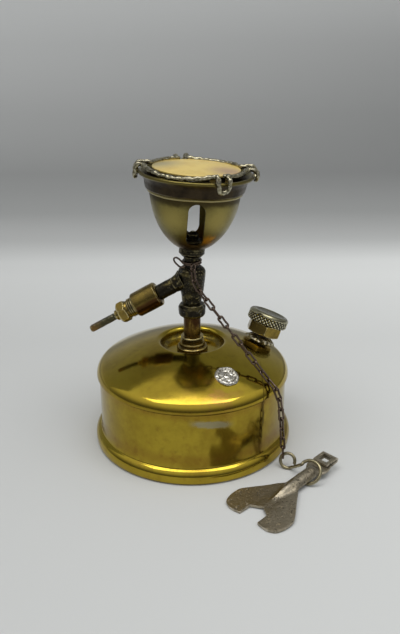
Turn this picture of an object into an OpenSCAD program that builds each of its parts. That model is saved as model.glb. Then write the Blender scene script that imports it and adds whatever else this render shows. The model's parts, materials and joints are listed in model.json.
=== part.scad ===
// Small brass petrol stove: a drum tank, a riser pillar with a side valve, an open burner cup,
// a screwed filler cap, and a spanner on a chain. Origin: tank axis on the ground, +Z up,
// the valve points to -X and the spanner lies at the front right.

/* [Tank] */
// Radius of the foot that the tank stands on
foot_r = 48; // [46.5:0.5:52]
// Height of the plain band at the bottom of the foot
foot_band_h = 4.6; // [3:0.2:6]
// Radius of the foot's rounded edges
foot_edge_r = 1.3; // [1.2:0.1:1.8]
// How far the foot's edge turns in under the bottom plate
foot_turn_in = 2.6; // [2.2:0.2:4]
// Height of the curved flare between the band and the wall
foot_flare_h = 7.4; // [5:0.2:9]
// Outside radius of the straight wall
wall_r = 45; // [43:0.5:45.5]
// Height of the cover's lower edge above the ground
seam_z = 35.4; // [32:0.2:40]
// How far the wall runs up inside the cover
seam_lap = 0.9; // [0.5:0.1:1]
// Thickness of the tank's brass sheet
sheet_t = 1; // [0.7:0.05:1.1]
// Height of the bottom plate's flange
bottom_flange_h = 1.6; // [1.2:0.1:2]
// Thickness of the bottom plate
bottom_t = 0.8; // [0.6:0.1:1]
// How far the bottom plate is domed upward
bottom_dome = 1.8; // [1:0.2:3]

/* [Cover] */
// Height of the straight part of the cover's lip
lip_h = 1; // [1:0.1:2]
// Radius of the rounded shoulder
shoulder_r = 2.2; // [1.4:0.1:4]
// Slope of the cover's cone, in degrees
cover_slope = 22.6; // [18:0.2:26]
// Radius of the well's mouth
well_r = 16.6; // [15:0.2:19]
// Radius of the well's flat floor
well_floor_r = 12; // [10.5:0.5:13]
// Depth of the well below its crest
well_depth = 5; // [4:0.2:6.6]
// Radius of the rolled edge round the well
well_edge_r = 2; // [1.4:0.1:2.4]

/* [Safety plug] */
// Radius of the solder plug
plug_r = 4.4; // [3.4:0.2:5]
// Distance of the plug from the tank's axis
plug_reach = 32.4; // [28:0.5:35]
// Direction of the plug round the tank, in degrees
plug_turn = -62.5; // [-80:0.5:-55]
// Height of the plug's rim above the cover
plug_h = 0.9; // [0.6:0.1:1.4]
// Radius of the hole that the plug closes
plug_hole_r = 2.2; // [1.4:0.2:2.8]

/* [Filler] */
// Distance of the filler from the tank's axis
filler_reach = 37.5; // [34:0.5:38]
// Direction of the filler round the tank, in degrees
filler_turn = 26; // [10:1:50]
// Lean of the filler away from upright, in degrees
filler_lean = 23.5; // [17:0.5:24]
// Outside radius of the filler boss
boss_r = 4.4; // [4:0.1:5]
// Bore radius of the filler boss
boss_bore_r = 3.1; // [2.6:0.1:3.4]
// Height of the boss above the cover
boss_h = 2.7; // [2.3:0.1:4]
// Length of the boss below the cover
boss_inside = 3; // [2:0.5:6]
// Radius of the solder round the boss
solder_r = 6.9; // [6:0.1:7.2]
// Height of the solder against the boss
solder_h = 1.5; // [1:0.1:2]
// Thickness of the washer under the cap
gasket_t = 1.2; // [0.8:0.1:2]
// Height of the cap's hexagon
cap_hex_h = 5.6; // [4:0.2:7]
// Width of the cap's hexagon across its flats
cap_hex_af = 15; // [13:0.5:16.5]
// Radius of the cap's milled head
cap_head_r = 10.2; // [9.7:0.1:11]
// Height of the cap's milled head
cap_head_h = 5.8; // [5.4:0.2:7]
// Number of ribs round the milled head
cap_ribs = 48; // [24:2:60]
// Depth of the milling
cap_rib_depth = 0.3; // [0.2:0.05:0.4]
// Length of the cap's screw inside the boss
cap_screw_l = 8; // [6:0.5:10]
// Depth of the bevel round the milled head
cap_bevel = 0.7; // [0.4:0.1:1]
// Length of the peg that holds the milled head
cap_peg_l = 4; // [2:0.5:5]

/* [Pillar] */
// Radius of the socket's flange in the well
socket_flange_r = 7.4; // [7:0.1:8]
// Thickness of the socket's flange
socket_flange_h = 2; // [1.4:0.2:2.8]
// Radius of the socket's middle step
socket_step_r = 6.1; // [5.8:0.1:6.6]
// Height of the socket's middle step
socket_step_h = 1.8; // [1.2:0.2:2.4]
// Radius of the socket's threaded top
socket_thread_r = 5.5; // [5.1:0.1:5.7]
// Height of the socket's threaded top
socket_thread_h = 3.2; // [2.4:0.2:4.4]
// Outside radius of the riser tube
riser_r = 4; // [3.8:0.1:4.4]
// Bore radius of the riser tube
riser_bore_r = 3.1; // [2.8:0.1:3.3]
// Length of the socket below the well's floor
socket_inside = 3; // [2:0.5:5]
// Height of the bare riser between its socket and its union ring
riser_bare_h = 10; // [7:0.5:14]
// How far the riser hangs into the tank below the well's floor
riser_drop = 26; // [16:1:28]
// Radius of the union ring
union_r = 6.4; // [5.8:0.1:7]
// Height of the union ring
union_h = 6.4; // [5:0.2:8]
// Rounding of the union ring's edges
union_edge = 1; // [0.6:0.1:1.4]
// How far the riser goes into the union ring
union_seat = 3.2; // [2:0.2:4]
// Length of the wick's tail below the riser
wick_tail = 12; // [4:1:13]
// Length of the wick inside the riser
wick_inside = 34; // [20:1:36]

/* [Valve body] */
// Radius of the valve body at its foot
body_foot_r = 4; // [3.8:0.1:4.8]
// Radius of the valve body at its shoulder
body_top_r = 6.4; // [5.8:0.1:7]
// Height of the tapered body, union ring to shoulder
body_h = 18; // [16:0.5:20]
// Height of the rounded shoulder
body_shoulder_h = 3.3; // [2.4:0.1:4]
// Radius of the neck
neck_r = 3.7; // [3.4:0.1:4]
// Length of the neck
neck_h = 5.2; // [4.8:0.2:7]
// Radius of the spigots at the body's two ends
spigot_r = 2.9; // [2.6:0.1:3.2]
// Length of the spigot at the body's top
spigot_l = 2.2; // [1.6:0.2:2.4]
// Radius of the passages drilled up the body
passage_r = 1.5; // [1:0.1:1.8]
// Height of the lower passage above the union ring
passage_h = 5; // [3.5:0.5:6]
// Radius of the channel from the lower passage to the side valve
channel_r = 0.8; // [0.5:0.1:1]
// Radius of the valve's seat
seat_r = 1; // [0.9:0.05:1.2]

/* [Side valve] */
// Downward slope of the side valve, in degrees
branch_drop = 29; // [22:0.5:34]
// Distance of the branch's axis below the body's shoulder
branch_below = 1.1; // [0.5:0.1:2.5]
// Outside radius of the branch tube
branch_r = 3.6; // [3.4:0.1:4]
// Bore radius of the branch tube
branch_bore_r = 2.3; // [2:0.05:2.6]
// Distance from the pillar's axis to the inner end of the branch tube
branch_start = 5; // [4.6:0.1:5.4]
// Distance from the pillar's axis to the sleeve
sleeve_start = 17.5; // [15:0.5:21]
// Length of the sleeve
sleeve_l = 13; // [11:0.5:16]
// Outside radius of the sleeve
sleeve_r = 5.9; // [5.5:0.1:6.5]
// Depth to which the branch tube sits in the sleeve
branch_seat = 4; // [3:0.5:5]
// Thickness of the web between the branch tube and the packing
web_l = 2; // [1.5:0.5:3]
// Length of the packing
packing_l = 3; // [2:0.2:4]
// Length of the gland nut's thread that shows
gland_thread_l = 4; // [3:0.2:5]
// Radius of the gland nut's thread
gland_thread_r = 4.6; // [4.2:0.1:4.9]
// Width of the gland nut across its flats
gland_af = 9.2; // [8.6:0.1:10]
// Height of the gland nut's hexagon
gland_hex_h = 4.4; // [3.4:0.2:5.6]
// Radius of the gland nut's outer lip
gland_lip_r = 2.5; // [2.3:0.1:3]
// Height of the gland nut's outer lip
gland_lip_h = 1.9; // [1:0.1:2.6]
// Radius of the spindle
spindle_r = 1.7; // [1.5:0.05:1.9]
// Length of the round spindle outside the gland nut's lip
spindle_round_l = 1.4; // [0.6:0.2:4]
// Length of the spindle's squared end
spindle_square_l = 12.6; // [9:0.2:15]
// Width of the squared end across its flats
spindle_square = 2.9; // [2.5:0.1:3.1]
// Length of the spindle's conical point
needle_l = 3.4; // [2.4:0.2:4.4]
// Distance from the pillar's axis to the spindle's point
needle_start = 4; // [3.6:0.1:4.2]

/* [Burner] */
// Lean of the burner to the right, in degrees
burner_lean = 3.4; // [0:0.2:5]
// Radius of the collar under the cup
collar_r = 5.9; // [5.5:0.1:6.6]
// Height of the collar
collar_h = 4.6; // [4.2:0.1:5.4]
// Depth of the chamfer under the collar
collar_chamfer = 1.4; // [0.8:0.1:1.8]
// Radius of the cup's flat floor
cup_floor_r = 6.1; // [5.6:0.1:7]
// Radius of the cup at its top
cup_r = 20; // [19:0.2:22]
// Height of the cup
cup_h = 23.8; // [21:0.2:27]
// Fullness of the cup's curve near its top
cup_top_power = 1.8; // [1.6:0.05:2]
// Steepness of the cup's curve near its floor
cup_floor_power = 0.7; // [0.65:0.01:0.85]
// Thickness of the cup's sheet
cup_t = 0.9; // [0.7:0.05:1]
// Number of air slots round the cup
slot_count = 4; // [2:1:5]
// Width of an air slot
slot_w = 7.4; // [5:0.2:8.4]
// Height of an air slot's lower end above the cup's floor
slot_low = 3; // [2.4:0.2:5]
// Height of an air slot's upper end above the cup's floor
slot_high = 22; // [18:0.2:22]
// Direction of the first air slot, in degrees
slot_turn = -87.5; // [-110:0.5:-70]
// Height of the bead round the cup's top
bead_h = 1.4; // [1:0.1:1.8]
// Thickness of the bead past the cup
bead_t = 0.8; // [0.5:0.1:1.2]
// Inner radius of the ledge inside the band
ledge_r = 15.6; // [14.6:0.2:16]
// Radius of the band above the bead
band_r = 22.2; // [21.8:0.2:24]
// Height of the band's straight part
band_h = 4.4; // [3.4:0.2:6]
// Radius of the flared rim
rim_r = 25; // [24.4:0.2:27]
// Height of the flare up to the rim
rim_h = 3.8; // [2.6:0.2:5]
// Radius of the rolled rim
rim_bead_r = 0.8; // [0.6:0.05:1]

/* [Flame plate] */
// Radius of the flame plate
plate_r = 18.2; // [17.6:0.2:20]
// Thickness of the flame plate
plate_t = 0.9; // [0.7:0.1:1.2]
// Height of the flame plate's edge above the rim
plate_over = 1.2; // [0.6:0.1:2.4]
// Rise of the flame plate's middle
plate_dome = 1; // [0.4:0.1:1.6]
// Distance of the flame plate's legs from its middle
plate_leg_reach = 16.6; // [16.2:0.1:16.8]
// Width of each leg, in degrees round the plate
plate_leg_w = 14; // [8:1:20]

/* [Retaining wire] */
// Thickness of the retaining wire
clip_wire = 1.6; // [1.2:0.1:1.8]
// Radius of the wire's ring on the plate
clip_ring_r = 17.2; // [16.4:0.2:17.4]
// Width of each loop over the rim
clip_loop_w = 5.4; // [4.6:0.2:6.4]
// Reach of the loops past the rim
clip_reach = 0.2; // [0.2:0.1:1.4]
// How far the loops hook down past the rim
clip_hook = 4.6; // [3.4:0.2:6]

/* [Jet] */
// Radius of the jet holder's flange
holder_r = 5; // [4.6:0.1:5.6]
// Height of the jet holder's flange
holder_h = 2.2; // [1.6:0.2:3]
// Radius of the jet's screw
jet_screw_r = 1.7; // [1.5:0.1:1.9]
// Width of the jet across its flats
jet_af = 5; // [4.4:0.1:5.6]
// Height of the jet's hexagon
jet_hex_h = 2.6; // [2:0.2:3.4]
// Radius of the jet's hole
jet_hole_r = 0.2; // [0.15:0.05:0.4]

/* [Chain] */
// Thickness of the chain's wire
link_wire = 0.75; // [0.6:0.05:0.85]
// Outside width of a link
link_w = 3.1; // [3:0.1:3.4]
// Wanted distance from one link to the next
link_pitch = 4.9; // [4.7:0.1:5.6]
// Play between two links
link_play = 0.2; // [0.12:0.02:0.3]
// Thickness of the wire round the neck
tie_wire = 0.9; // [0.7:0.1:1]
// Radius of the small eye that the chain hangs from
tie_eye_r = 1.5; // [1.4:0.1:1.8]
// Length of the wire's twisted tail
tie_tail_l = 6; // [3:0.5:9]

/* [Hook] */
// Thickness of the hook's wire
hook_wire = 1.2; // [1:0.1:1.3]
// Radius of the hook's small eye
hook_eye_r = 3.1; // [2.8:0.1:3.2]
// Extra play of the last link on the hook's eye
hook_play = 0.3; // [0.2:0.05:0.6]
// Radius of the hook's open loop
hook_loop_r = 5.3; // [5.2:0.1:5.5]

/* [Spanner] */
// Length of the spanner
key_l = 56.5; // [54:0.5:62]
// Thickness of the spanner's sheet
key_t = 1.1; // [0.9:0.1:1.4]
// Half width of the spanner's fork
fork_r = 15.4; // [13.5:0.1:17]
// Length of the fork
fork_l = 29; // [26:0.5:32]
// Length of the flat end past the channelled shank
tab_l = 13.5; // [12:0.5:15]
// Depth of the fork's jaw
jaw_depth = 9.4; // [8:0.2:12]
// Play of the jaw on the gland nut
jaw_play = 0.5; // [0.3:0.1:1]
// Radius of the channelled shank
shank_r = 3.1; // [2.8:0.1:3.2]
// Length of the folded end
fold_l = 8; // [7:0.5:9]
// Width of the folded end
fold_w = 8; // [6.6:0.2:9]
// Play of the folded end's square hole on the spindle
socket_play = 0.5; // [0.2:0.1:0.7]
// Direction of the spanner on the ground, in degrees
key_turn = 43; // [38:1:46]
// Lift of the spanner's shank, in degrees
key_lift = 3.6; // [3.4:0.1:4]

/* [Fits] */
// Gap between soldered or screwed pieces
seat_gap = 0.05; // [0.02:0.01:0.08]
// Gap between a turning piece and its bore
turn_gap = 0.06; // [0.03:0.01:0.09]

/* [Hidden] */
$fn = 96;

brass = [0.72, 0.58, 0.2];
dark_brass = [0.36, 0.31, 0.18];
pewter = [0.45, 0.43, 0.38];

// Heights along the pillar, from the ground up
wall_top_z = seam_z + seam_lap;
shoulder_z = seam_z + lip_h;
cover_r = wall_r + seat_gap + sheet_t;
cone_r = cover_r - shoulder_r * (1 - sin(cover_slope));
cone_z = shoulder_z + shoulder_r * cos(cover_slope);
well_roll_z = cover_z(well_r + well_edge_r * sin(cover_slope)) - well_edge_r * cos(cover_slope);
well_z = well_roll_z + well_edge_r - well_depth;
socket_top_z = well_z + socket_flange_h + socket_step_h + socket_thread_h;
riser_low_z = well_z - riser_drop;
union_z = socket_top_z + riser_bare_h;
riser_top_z = union_z + union_seat;
body_z = union_z + union_h;
shoulder_low_z = body_z + body_h - body_shoulder_h;
neck_z = body_z + body_h;
neck_top_z = neck_z + neck_h;
branch_z = shoulder_low_z - branch_below;

// Distances along the side valve, from the pillar's axis
sleeve_end = sleeve_start + sleeve_l;
branch_end = sleeve_start + branch_seat;
packing_start = branch_end + web_l;
gland_start = packing_start + packing_l;
gland_hex_start = sleeve_end + gland_thread_l;
gland_lip_start = gland_hex_start + gland_hex_h;
square_start = gland_lip_start + gland_lip_h + spindle_round_l;
spindle_end = square_start + spindle_square_l;

// Heights in the leaning burner, from the top of the neck
cup_z = collar_h;
band_z = cup_z + cup_h;
rim_z = band_z + cup_t + band_h + rim_h;
plate_z = rim_z + rim_bead_r + plate_over;
clip_z = plate_z + plate_t + plate_rise(clip_ring_r - clip_wire / 2) + clip_wire / 2 + seat_gap;
cup_bottom_hole_r = spigot_r + seat_gap;

// Height of the cap's hexagon above the cover, along the filler
cap_seat = boss_h + gasket_t + seat_gap;

// Directions of the retaining wire's loops, bent by hand and uneven
clip_turns = [-65, 2, 107, 180];

// The hook's eye, its loop, and the planes that they lie in
hook_eye = [42.9, -34.3, 3.6];
eye_across = unit([0.936, -0.351, 0]);
eye_up = unit([0.143, 0.381, 0.914]);
hook_place = hook_eye + hook_eye_r * (cos(130) * eye_across + sin(130) * eye_up);
hook_loop = [51.5, -44.7, 4.5];
eye_start = 40;
eye_bend = 262;
loop_start = 150;
loop_bend = 260;
loop_across = unit([0.759, -0.652, 0]);
loop_up = unit([0.462, 0.537, 0.707]);

// Where the chain runs, as round places chosen along it
chain_side = unit([0.58, 0.81, 0]);
eye_place = [0.5, -6.9, neck_z + 1.64];
upper_route = [eye_place - [0, 0, tie_eye_r - (tie_wire + link_play) / 2],
    eye_place + [0.3, -2.1, -5.2], eye_place + [2.1, -2.9, -9], eye_place + [5.1, -3.9, -13],
    [34, -27.2, 41.2]];
lower_route = [[34, -27.2, 41.2], [37, -30.2, 38.4], [38.6, -31.9, 34.2], [39.6, -32.4, 28],
    hook_place - [0, 0, (hook_wire + link_play) / 2 + hook_play]];
// How far the lower chain is twisted from its first link to its last, in degrees
lower_twist = -34;

// Where the spanner's fork touches the ground, midway between its tips
key_place = [22.1, -71.5, 0];

// Shapes that several modules share
function unit(v) = v / norm(v);
function arc(c, r, a, b, n) = [for (i = [0:n]) let (t = a + (b - a) * i / n) c + r * [cos(t), sin(t)]];
function left_of(a, b) = unit([a.y - b.y, b.x - a.x]);
function mitre(p, i) = let (
        last = len(p) - 1,
        a = left_of(p[max(i - 1, 0)], p[max(i, 1)]),
        b = left_of(p[min(i, last - 1)], p[min(i + 1, last)]),
        m = a + b
    ) m * 2 / (m * m);
function inner(p, i, t) = let (q = p[i] + t * mitre(p, i)) p[i].x == 0 ? [0, q.y] : q;
function sheet(p, t) = concat(p, [for (i = [len(p) - 1:-1:0]) inner(p, i, t)]);
function cover_z(r) = cone_z + (cone_r - r) * tan(cover_slope);

// Places along a route of straight runs
function run_length(p, n) = n < 1 ? 0 : norm(p[n] - p[n - 1]) + run_length(p, n - 1);
function along(p, s, i = 1) = let (run = norm(p[i] - p[i - 1]))
    s <= run || i == len(p) - 1 ? p[i - 1] + (p[i] - p[i - 1]) * s / run : along(p, s - run, i + 1);
function link_count(p) = 2 * round(run_length(p, len(p) - 1) / link_pitch / 2);
function link_place(p, i) = along(p, i * run_length(p, len(p) - 1) / link_count(p));

// A round wire of diameter d swept along the points of p
function turned(v, a, b) = let (axis = cross(a, b), s = norm(axis), c = a * b)
    s < 0.00001 ? v : let (k = axis / s) v * c + cross(k, v) * s + k * (k * v) * (1 - c);
function run_way(p, i) = unit(p[min(i + 1, len(p) - 1)] - p[max(i - 1, 0)]);
function first_side(w) = unit(cross(w, abs(w.z) < 0.8 ? [0, 0, 1] : [1, 0, 0]));
function sides(p) = [for (i = 0, v = first_side(run_way(p, 0)); i < len(p);
    v = i + 1 < len(p) ? turned(v, run_way(p, i), run_way(p, i + 1)) : v, i = i + 1) v];
function ring_quad(a, b) = [[a[0], a[1], b[1]], [a[0], b[1], b[0]]];
module wire(p, d, n = 10) {
    side = sides(p);
    points = [for (i = [0:len(p) - 1]) let (w = run_way(p, i), u = side[i], v = cross(w, u))
        for (k = [0:n - 1]) p[i] + d / 2 * (cos(360 * k / n) * u + sin(360 * k / n) * v)];
    walls = [for (i = [0:len(p) - 2]) for (k = [0:n - 1])
        each ring_quad([i * n + k, (i + 1) * n + k], [i * n + (k + 1) % n, (i + 1) * n + (k + 1) % n])];
    first = [for (k = [1:n - 2]) [0, k, k + 1]];
    last = [for (k = [1:n - 2]) (len(p) - 1) * n * [1, 1, 1] + [0, k + 1, k]];
    polyhedron(points, concat(walls, first, last));
}

// Frames that pieces are placed in
module placed(at, across, up) {
    out = cross(across, up);
    multmatrix([
        [across.x, up.x, out.x, at.x],
        [across.y, up.y, out.y, at.y],
        [across.z, up.z, out.z, at.z],
        [0, 0, 0, 1]
    ]) children();
}
module rod(a, b, d) {
    way = unit(b - a);
    side = first_side(way);
    placed(a, side, cross(way, side)) cylinder(d = d, h = norm(b - a), $fn = 24);
}
module on_cover(reach, turn, lean) {
    rotate([0, 0, turn]) translate([reach, 0, cover_z(reach)]) rotate([0, lean, 0]) children();
}
module at_filler() {
    on_cover(filler_reach, filler_turn, filler_lean) children();
}
module at_plug() {
    on_cover(plug_reach, plug_turn, cover_slope) children();
}
module at_branch(s = 0) {
    translate([0, 0, branch_z]) rotate([0, -90 - branch_drop, 0]) translate([0, 0, s]) children();
}
module leaning() {
    translate([0, 0, neck_top_z]) rotate([0, burner_lean, 0]) children();
}
module on_ground() {
    translate(key_place) rotate([0, 0, key_turn]) rotate([0, -key_lift, 0]) children();
}
module tube(r, bore, h) {
    difference() {
        cylinder(r = r, h = h);
        translate([0, 0, -1]) cylinder(r = bore, h = h + 2);
    }
}
module hexagon(af, h) {
    cylinder(r = af / sqrt(3), h = h, $fn = 6);
}

// The tank
function foot_flare() = let (w = foot_r - foot_edge_r - wall_r) [for (i = [1:10]) let (t = 9 * i)
    [wall_r + w * (1 - sin(t)), foot_band_h + foot_flare_h * (1 - cos(t))]];
module tank_wall() {
    outline = concat(
        [[foot_r - foot_turn_in, 0]],
        arc([foot_r - foot_edge_r, foot_edge_r], foot_edge_r, -90, 0, 6),
        arc([foot_r - foot_edge_r, foot_band_h - foot_edge_r], foot_edge_r, 0, 90, 6),
        foot_flare(),
        [[wall_r, wall_top_z]]
    );
    color(brass) rotate_extrude() polygon(sheet(outline, sheet_t));
}
module tank_bottom() {
    r = foot_r - sheet_t - seat_gap;
    low = sheet_t + seat_gap;
    outline = concat(
        [[r + sheet_t - foot_edge_r, low], [r, low + foot_edge_r - sheet_t], [r, low + bottom_flange_h]],
        [for (i = [0:8]) let (x = (r - 2) * (1 - i / 8))
            [x, low + bottom_flange_h + bottom_dome * (1 - pow(x / (r - 2), 2))]]
    );
    color(dark_brass) rotate_extrude() polygon(sheet(outline, bottom_t));
}
function cover_outline() = concat(
    [[socket_thread_r + seat_gap, well_z], [well_floor_r, well_z]],
    [for (i = [1:6]) let (t = 15 * i) [
        well_floor_r + (well_r - well_edge_r - well_floor_r) * sin(t),
        well_z + (well_roll_z - well_z) * (1 - cos(t))
    ]],
    arc([well_r, well_roll_z], well_edge_r, 165, 90 - cover_slope, 8),
    arc([cover_r - shoulder_r, shoulder_z], shoulder_r, 90 - cover_slope, 0, 10),
    [[cover_r, seam_z]]
);
module under_cover() {
    rotate_extrude() polygon(concat([[0, 0], [0, well_z]], cover_outline(), [[cover_r, 0]]));
}
module tank_cover() {
    color(brass) difference() {
        rotate_extrude() polygon(sheet(cover_outline(), -sheet_t));
        at_plug() translate([0, 0, -4]) cylinder(r = plug_hole_r, h = 8);
        at_filler() translate([0, 0, -5]) cylinder(r = boss_r + seat_gap, h = 10);
    }
}
module fusible_plug() {
    color(pewter) difference() {
        at_plug() rotate_extrude() polygon([
            [0, -2.4], [plug_hole_r - seat_gap, -2.4], [plug_hole_r - seat_gap, -0.4], [plug_r, -0.4],
            [plug_r, plug_h * 0.6], [plug_r - 0.5, plug_h], [plug_r - 1.2, plug_h],
            [plug_r - 2, plug_h * 0.5], [0, plug_h * 0.7]
        ]);
        difference() {
            under_cover();
            at_plug() translate([0, 0, -4]) cylinder(r = plug_hole_r - seat_gap, h = 8);
        }
    }
}

// The filler and its cap
module filler_boss() {
    color(brass) at_filler() translate([0, 0, -boss_inside])
        tube(boss_r, boss_bore_r, boss_inside + boss_h);
}
module filler_solder() {
    color(pewter) difference() {
        at_filler() rotate_extrude() polygon([
            [boss_r + seat_gap, -1], [solder_r, -1], [solder_r, 0.4], [solder_r - 0.8, 0.9],
            [boss_r + 0.8, solder_h], [boss_r + seat_gap, solder_h]
        ]);
        under_cover();
    }
}
module filler_gasket() {
    color([0.2, 0.17, 0.14]) at_filler() translate([0, 0, boss_h])
        tube(boss_r, boss_bore_r - turn_gap + seat_gap, gasket_t);
}
module filler_screw() {
    color(brass) at_filler() translate([0, 0, cap_seat]) {
        translate([0, 0, -cap_screw_l]) cylinder(r = boss_bore_r - turn_gap, h = cap_screw_l + 1);
        hexagon(cap_hex_af, cap_hex_h);
        cylinder(r = boss_bore_r, h = cap_hex_h + cap_peg_l);
    }
}
module cap_head() {
    ribs = [for (i = [0:2 * cap_ribs - 1]) let (t = 180 * i / cap_ribs)
        (cap_head_r - (i % 2) * cap_rib_depth) * [cos(t), sin(t)]];
    color(pewter) at_filler() translate([0, 0, cap_seat + cap_hex_h]) difference() {
        intersection() {
            linear_extrude(cap_head_h) polygon(ribs);
            rotate_extrude() polygon([
                [0, 0], [cap_head_r - cap_bevel, 0], [cap_head_r + 0.1, cap_bevel],
                [cap_head_r + 0.1, cap_head_h - cap_bevel], [cap_head_r - 1.6 * cap_bevel, cap_head_h],
                [0, cap_head_h]
            ]);
        }
        translate([0, 0, -1]) cylinder(r = boss_bore_r + seat_gap, h = cap_peg_l + 1 + seat_gap);
    }
}

// The pillar
module riser_socket() {
    flange_z = well_z + socket_flange_h;
    step_z = flange_z + socket_step_h;
    color(brass) rotate_extrude() polygon([
        [riser_r + seat_gap, well_z - socket_inside], [socket_thread_r, well_z - socket_inside],
        [socket_thread_r, well_z], [socket_flange_r, well_z], [socket_flange_r, flange_z - 0.4],
        [socket_flange_r - 0.4, flange_z], [socket_step_r, flange_z], [socket_step_r, step_z - 0.3],
        [socket_step_r - 0.3, step_z], [socket_thread_r, step_z], [socket_thread_r, socket_top_z - 0.4],
        [socket_thread_r - 0.4, socket_top_z], [riser_r + seat_gap, socket_top_z]
    ]);
}
module riser_tube() {
    color(brass) translate([0, 0, riser_low_z]) tube(riser_r, riser_bore_r, riser_top_z - riser_low_z);
}
module union_ring() {
    color(brass) rotate_extrude() polygon(concat(
        [[riser_r + seat_gap, union_z]],
        arc([union_r - union_edge, union_z + union_edge], union_edge, -90, 0, 5),
        arc([union_r - union_edge, body_z - union_edge], union_edge, 0, 90, 5),
        [[spigot_r + seat_gap, body_z], [spigot_r + seat_gap, riser_top_z], [riser_r + seat_gap, riser_top_z]]
    ));
}
module wick() {
    color([0.75, 0.7, 0.6]) translate([0, 0, riser_low_z - wick_tail])
        cylinder(r = riser_bore_r - seat_gap, h = wick_tail + wick_inside);
}
module vapour_channel() {
    translate([0, 0, body_z + passage_h - channel_r])
        rotate([0, -41, 0]) cylinder(r = channel_r, h = 7.6);
}
module valve_body() {
    spread = body_top_r - body_foot_r;
    taper = [for (i = [0:6]) [
        body_foot_r + spread * pow(i / 6, 0.9), body_z + (shoulder_low_z - body_z) * i / 6
    ]];
    color(dark_brass) difference() {
        union() {
            rotate_extrude() polygon(concat(
                [[0, riser_top_z + seat_gap], [spigot_r, riser_top_z + seat_gap], [spigot_r, body_z]],
                taper,
                [for (i = [1:5]) let (t = 18 * i) [
                    neck_r + (body_top_r - neck_r) * cos(t), shoulder_low_z + body_shoulder_h * sin(t)
                ]],
                [[neck_r, neck_top_z + 1], [0, neck_top_z + 1]]
            ));
            leaning() cylinder(r = spigot_r, h = spigot_l);
        }
        leaning() tube(body_top_r, spigot_r, 4);
        leaning() translate([0, 0, spigot_l]) cylinder(r = body_top_r, h = 2);
        translate([0, 0, riser_top_z - 1]) cylinder(r = passage_r, h = body_z + passage_h - riser_top_z + 1);
        translate([0, 0, branch_z - passage_r]) cylinder(r = passage_r, h = neck_top_z + 4 - branch_z);
        at_branch() cylinder(r = seat_r, h = branch_start + 1);
        at_branch(branch_start) cylinder(r = branch_r + seat_gap, h = 12);
        vapour_channel();
    }
}

// The side valve
module branch_tube() {
    color(brass) difference() {
        at_branch(branch_start) tube(branch_r, branch_bore_r, branch_end - branch_start);
        vapour_channel();
    }
}
module packing_housing() {
    color(brass) at_branch(sleeve_start) difference() {
        cylinder(r = sleeve_r, h = sleeve_l);
        translate([0, 0, -1]) cylinder(r = branch_r + seat_gap, h = branch_seat + 1);
        cylinder(r = branch_bore_r, h = sleeve_l);
        translate([0, 0, packing_start - sleeve_start]) cylinder(r = gland_thread_r + seat_gap, h = sleeve_l);
    }
}
module packing() {
    color([0.15, 0.15, 0.14]) at_branch(packing_start) tube(gland_thread_r, spindle_r + turn_gap, packing_l);
}
module gland_nut() {
    color(brass) at_branch() difference() {
        union() {
            translate([0, 0, gland_start]) cylinder(r = gland_thread_r, h = gland_hex_start - gland_start);
            translate([0, 0, gland_hex_start]) intersection() {
                hexagon(gland_af, gland_hex_h);
                cylinder(r1 = gland_af / 2 + 2.2, r2 = gland_af / 2 + 0.1, h = gland_hex_h);
            }
            translate([0, 0, gland_lip_start]) cylinder(r = gland_lip_r, h = gland_lip_h);
        }
        cylinder(r = spindle_r + turn_gap, h = spindle_end);
    }
}
module valve_spindle() {
    color(dark_brass) at_branch() union() {
        translate([0, 0, needle_start]) cylinder(r1 = 0.25, r2 = spindle_r, h = needle_l);
        translate([0, 0, needle_start + needle_l])
            cylinder(r = spindle_r, h = square_start - needle_start - needle_l);
        translate([0, 0, square_start]) intersection() {
            cylinder(r = spindle_r + 0.1, h = spindle_square_l);
            translate([-spindle_square / 2, -spindle_square / 2, 0])
                cube([spindle_square, spindle_square, spindle_square_l]);
        }
    }
}

// The burner
module burner_collar() {
    color(dark_brass) leaning() rotate_extrude() polygon([
        [spigot_r + seat_gap, 0], [collar_r - 0.8 * collar_chamfer, 0], [collar_r, collar_chamfer],
        [collar_r, collar_h], [spigot_r + seat_gap, collar_h]
    ]);
}
module jet_holder() {
    top = cup_z + cup_t + holder_h;
    color(brass) leaning() rotate_extrude() polygon([
        [passage_r, spigot_l + seat_gap], [spigot_r, spigot_l + seat_gap], [spigot_r, cup_z + cup_t],
        [holder_r, cup_z + cup_t], [holder_r, top - 0.5], [holder_r - 0.5, top],
        [jet_screw_r + seat_gap, top], [jet_screw_r + seat_gap, cup_z], [passage_r, cup_z]
    ]);
}
module jet_nipple() {
    top = cup_z + cup_t + holder_h;
    color(brass) leaning() difference() {
        union() {
            translate([0, 0, cup_z]) cylinder(r = jet_screw_r, h = top - cup_z);
            translate([0, 0, top]) hexagon(jet_af, jet_hex_h);
            translate([0, 0, top + jet_hex_h]) cylinder(r1 = jet_af / 2 - 0.2, r2 = 0.8, h = 1.2);
        }
        cylinder(r = jet_hole_r, h = top + jet_hex_h + 2);
        cylinder(r = 1, h = top + jet_hex_h - 0.6);
    }
}
function cup_curve(h) = cup_floor_r
    + (cup_r - cup_floor_r) * pow(1 - pow(1 - h / cup_h, cup_top_power), cup_floor_power);
module air_slot() {
    middle = slot_w / 2;
    rotate([90, 0, 90]) linear_extrude(cup_r + 4) {
        translate([-middle, slot_low + middle]) square([slot_w, slot_high - slot_low - slot_w]);
        translate([0, slot_low + middle]) circle(middle);
        translate([0, slot_high - middle]) circle(middle);
    }
}
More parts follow.
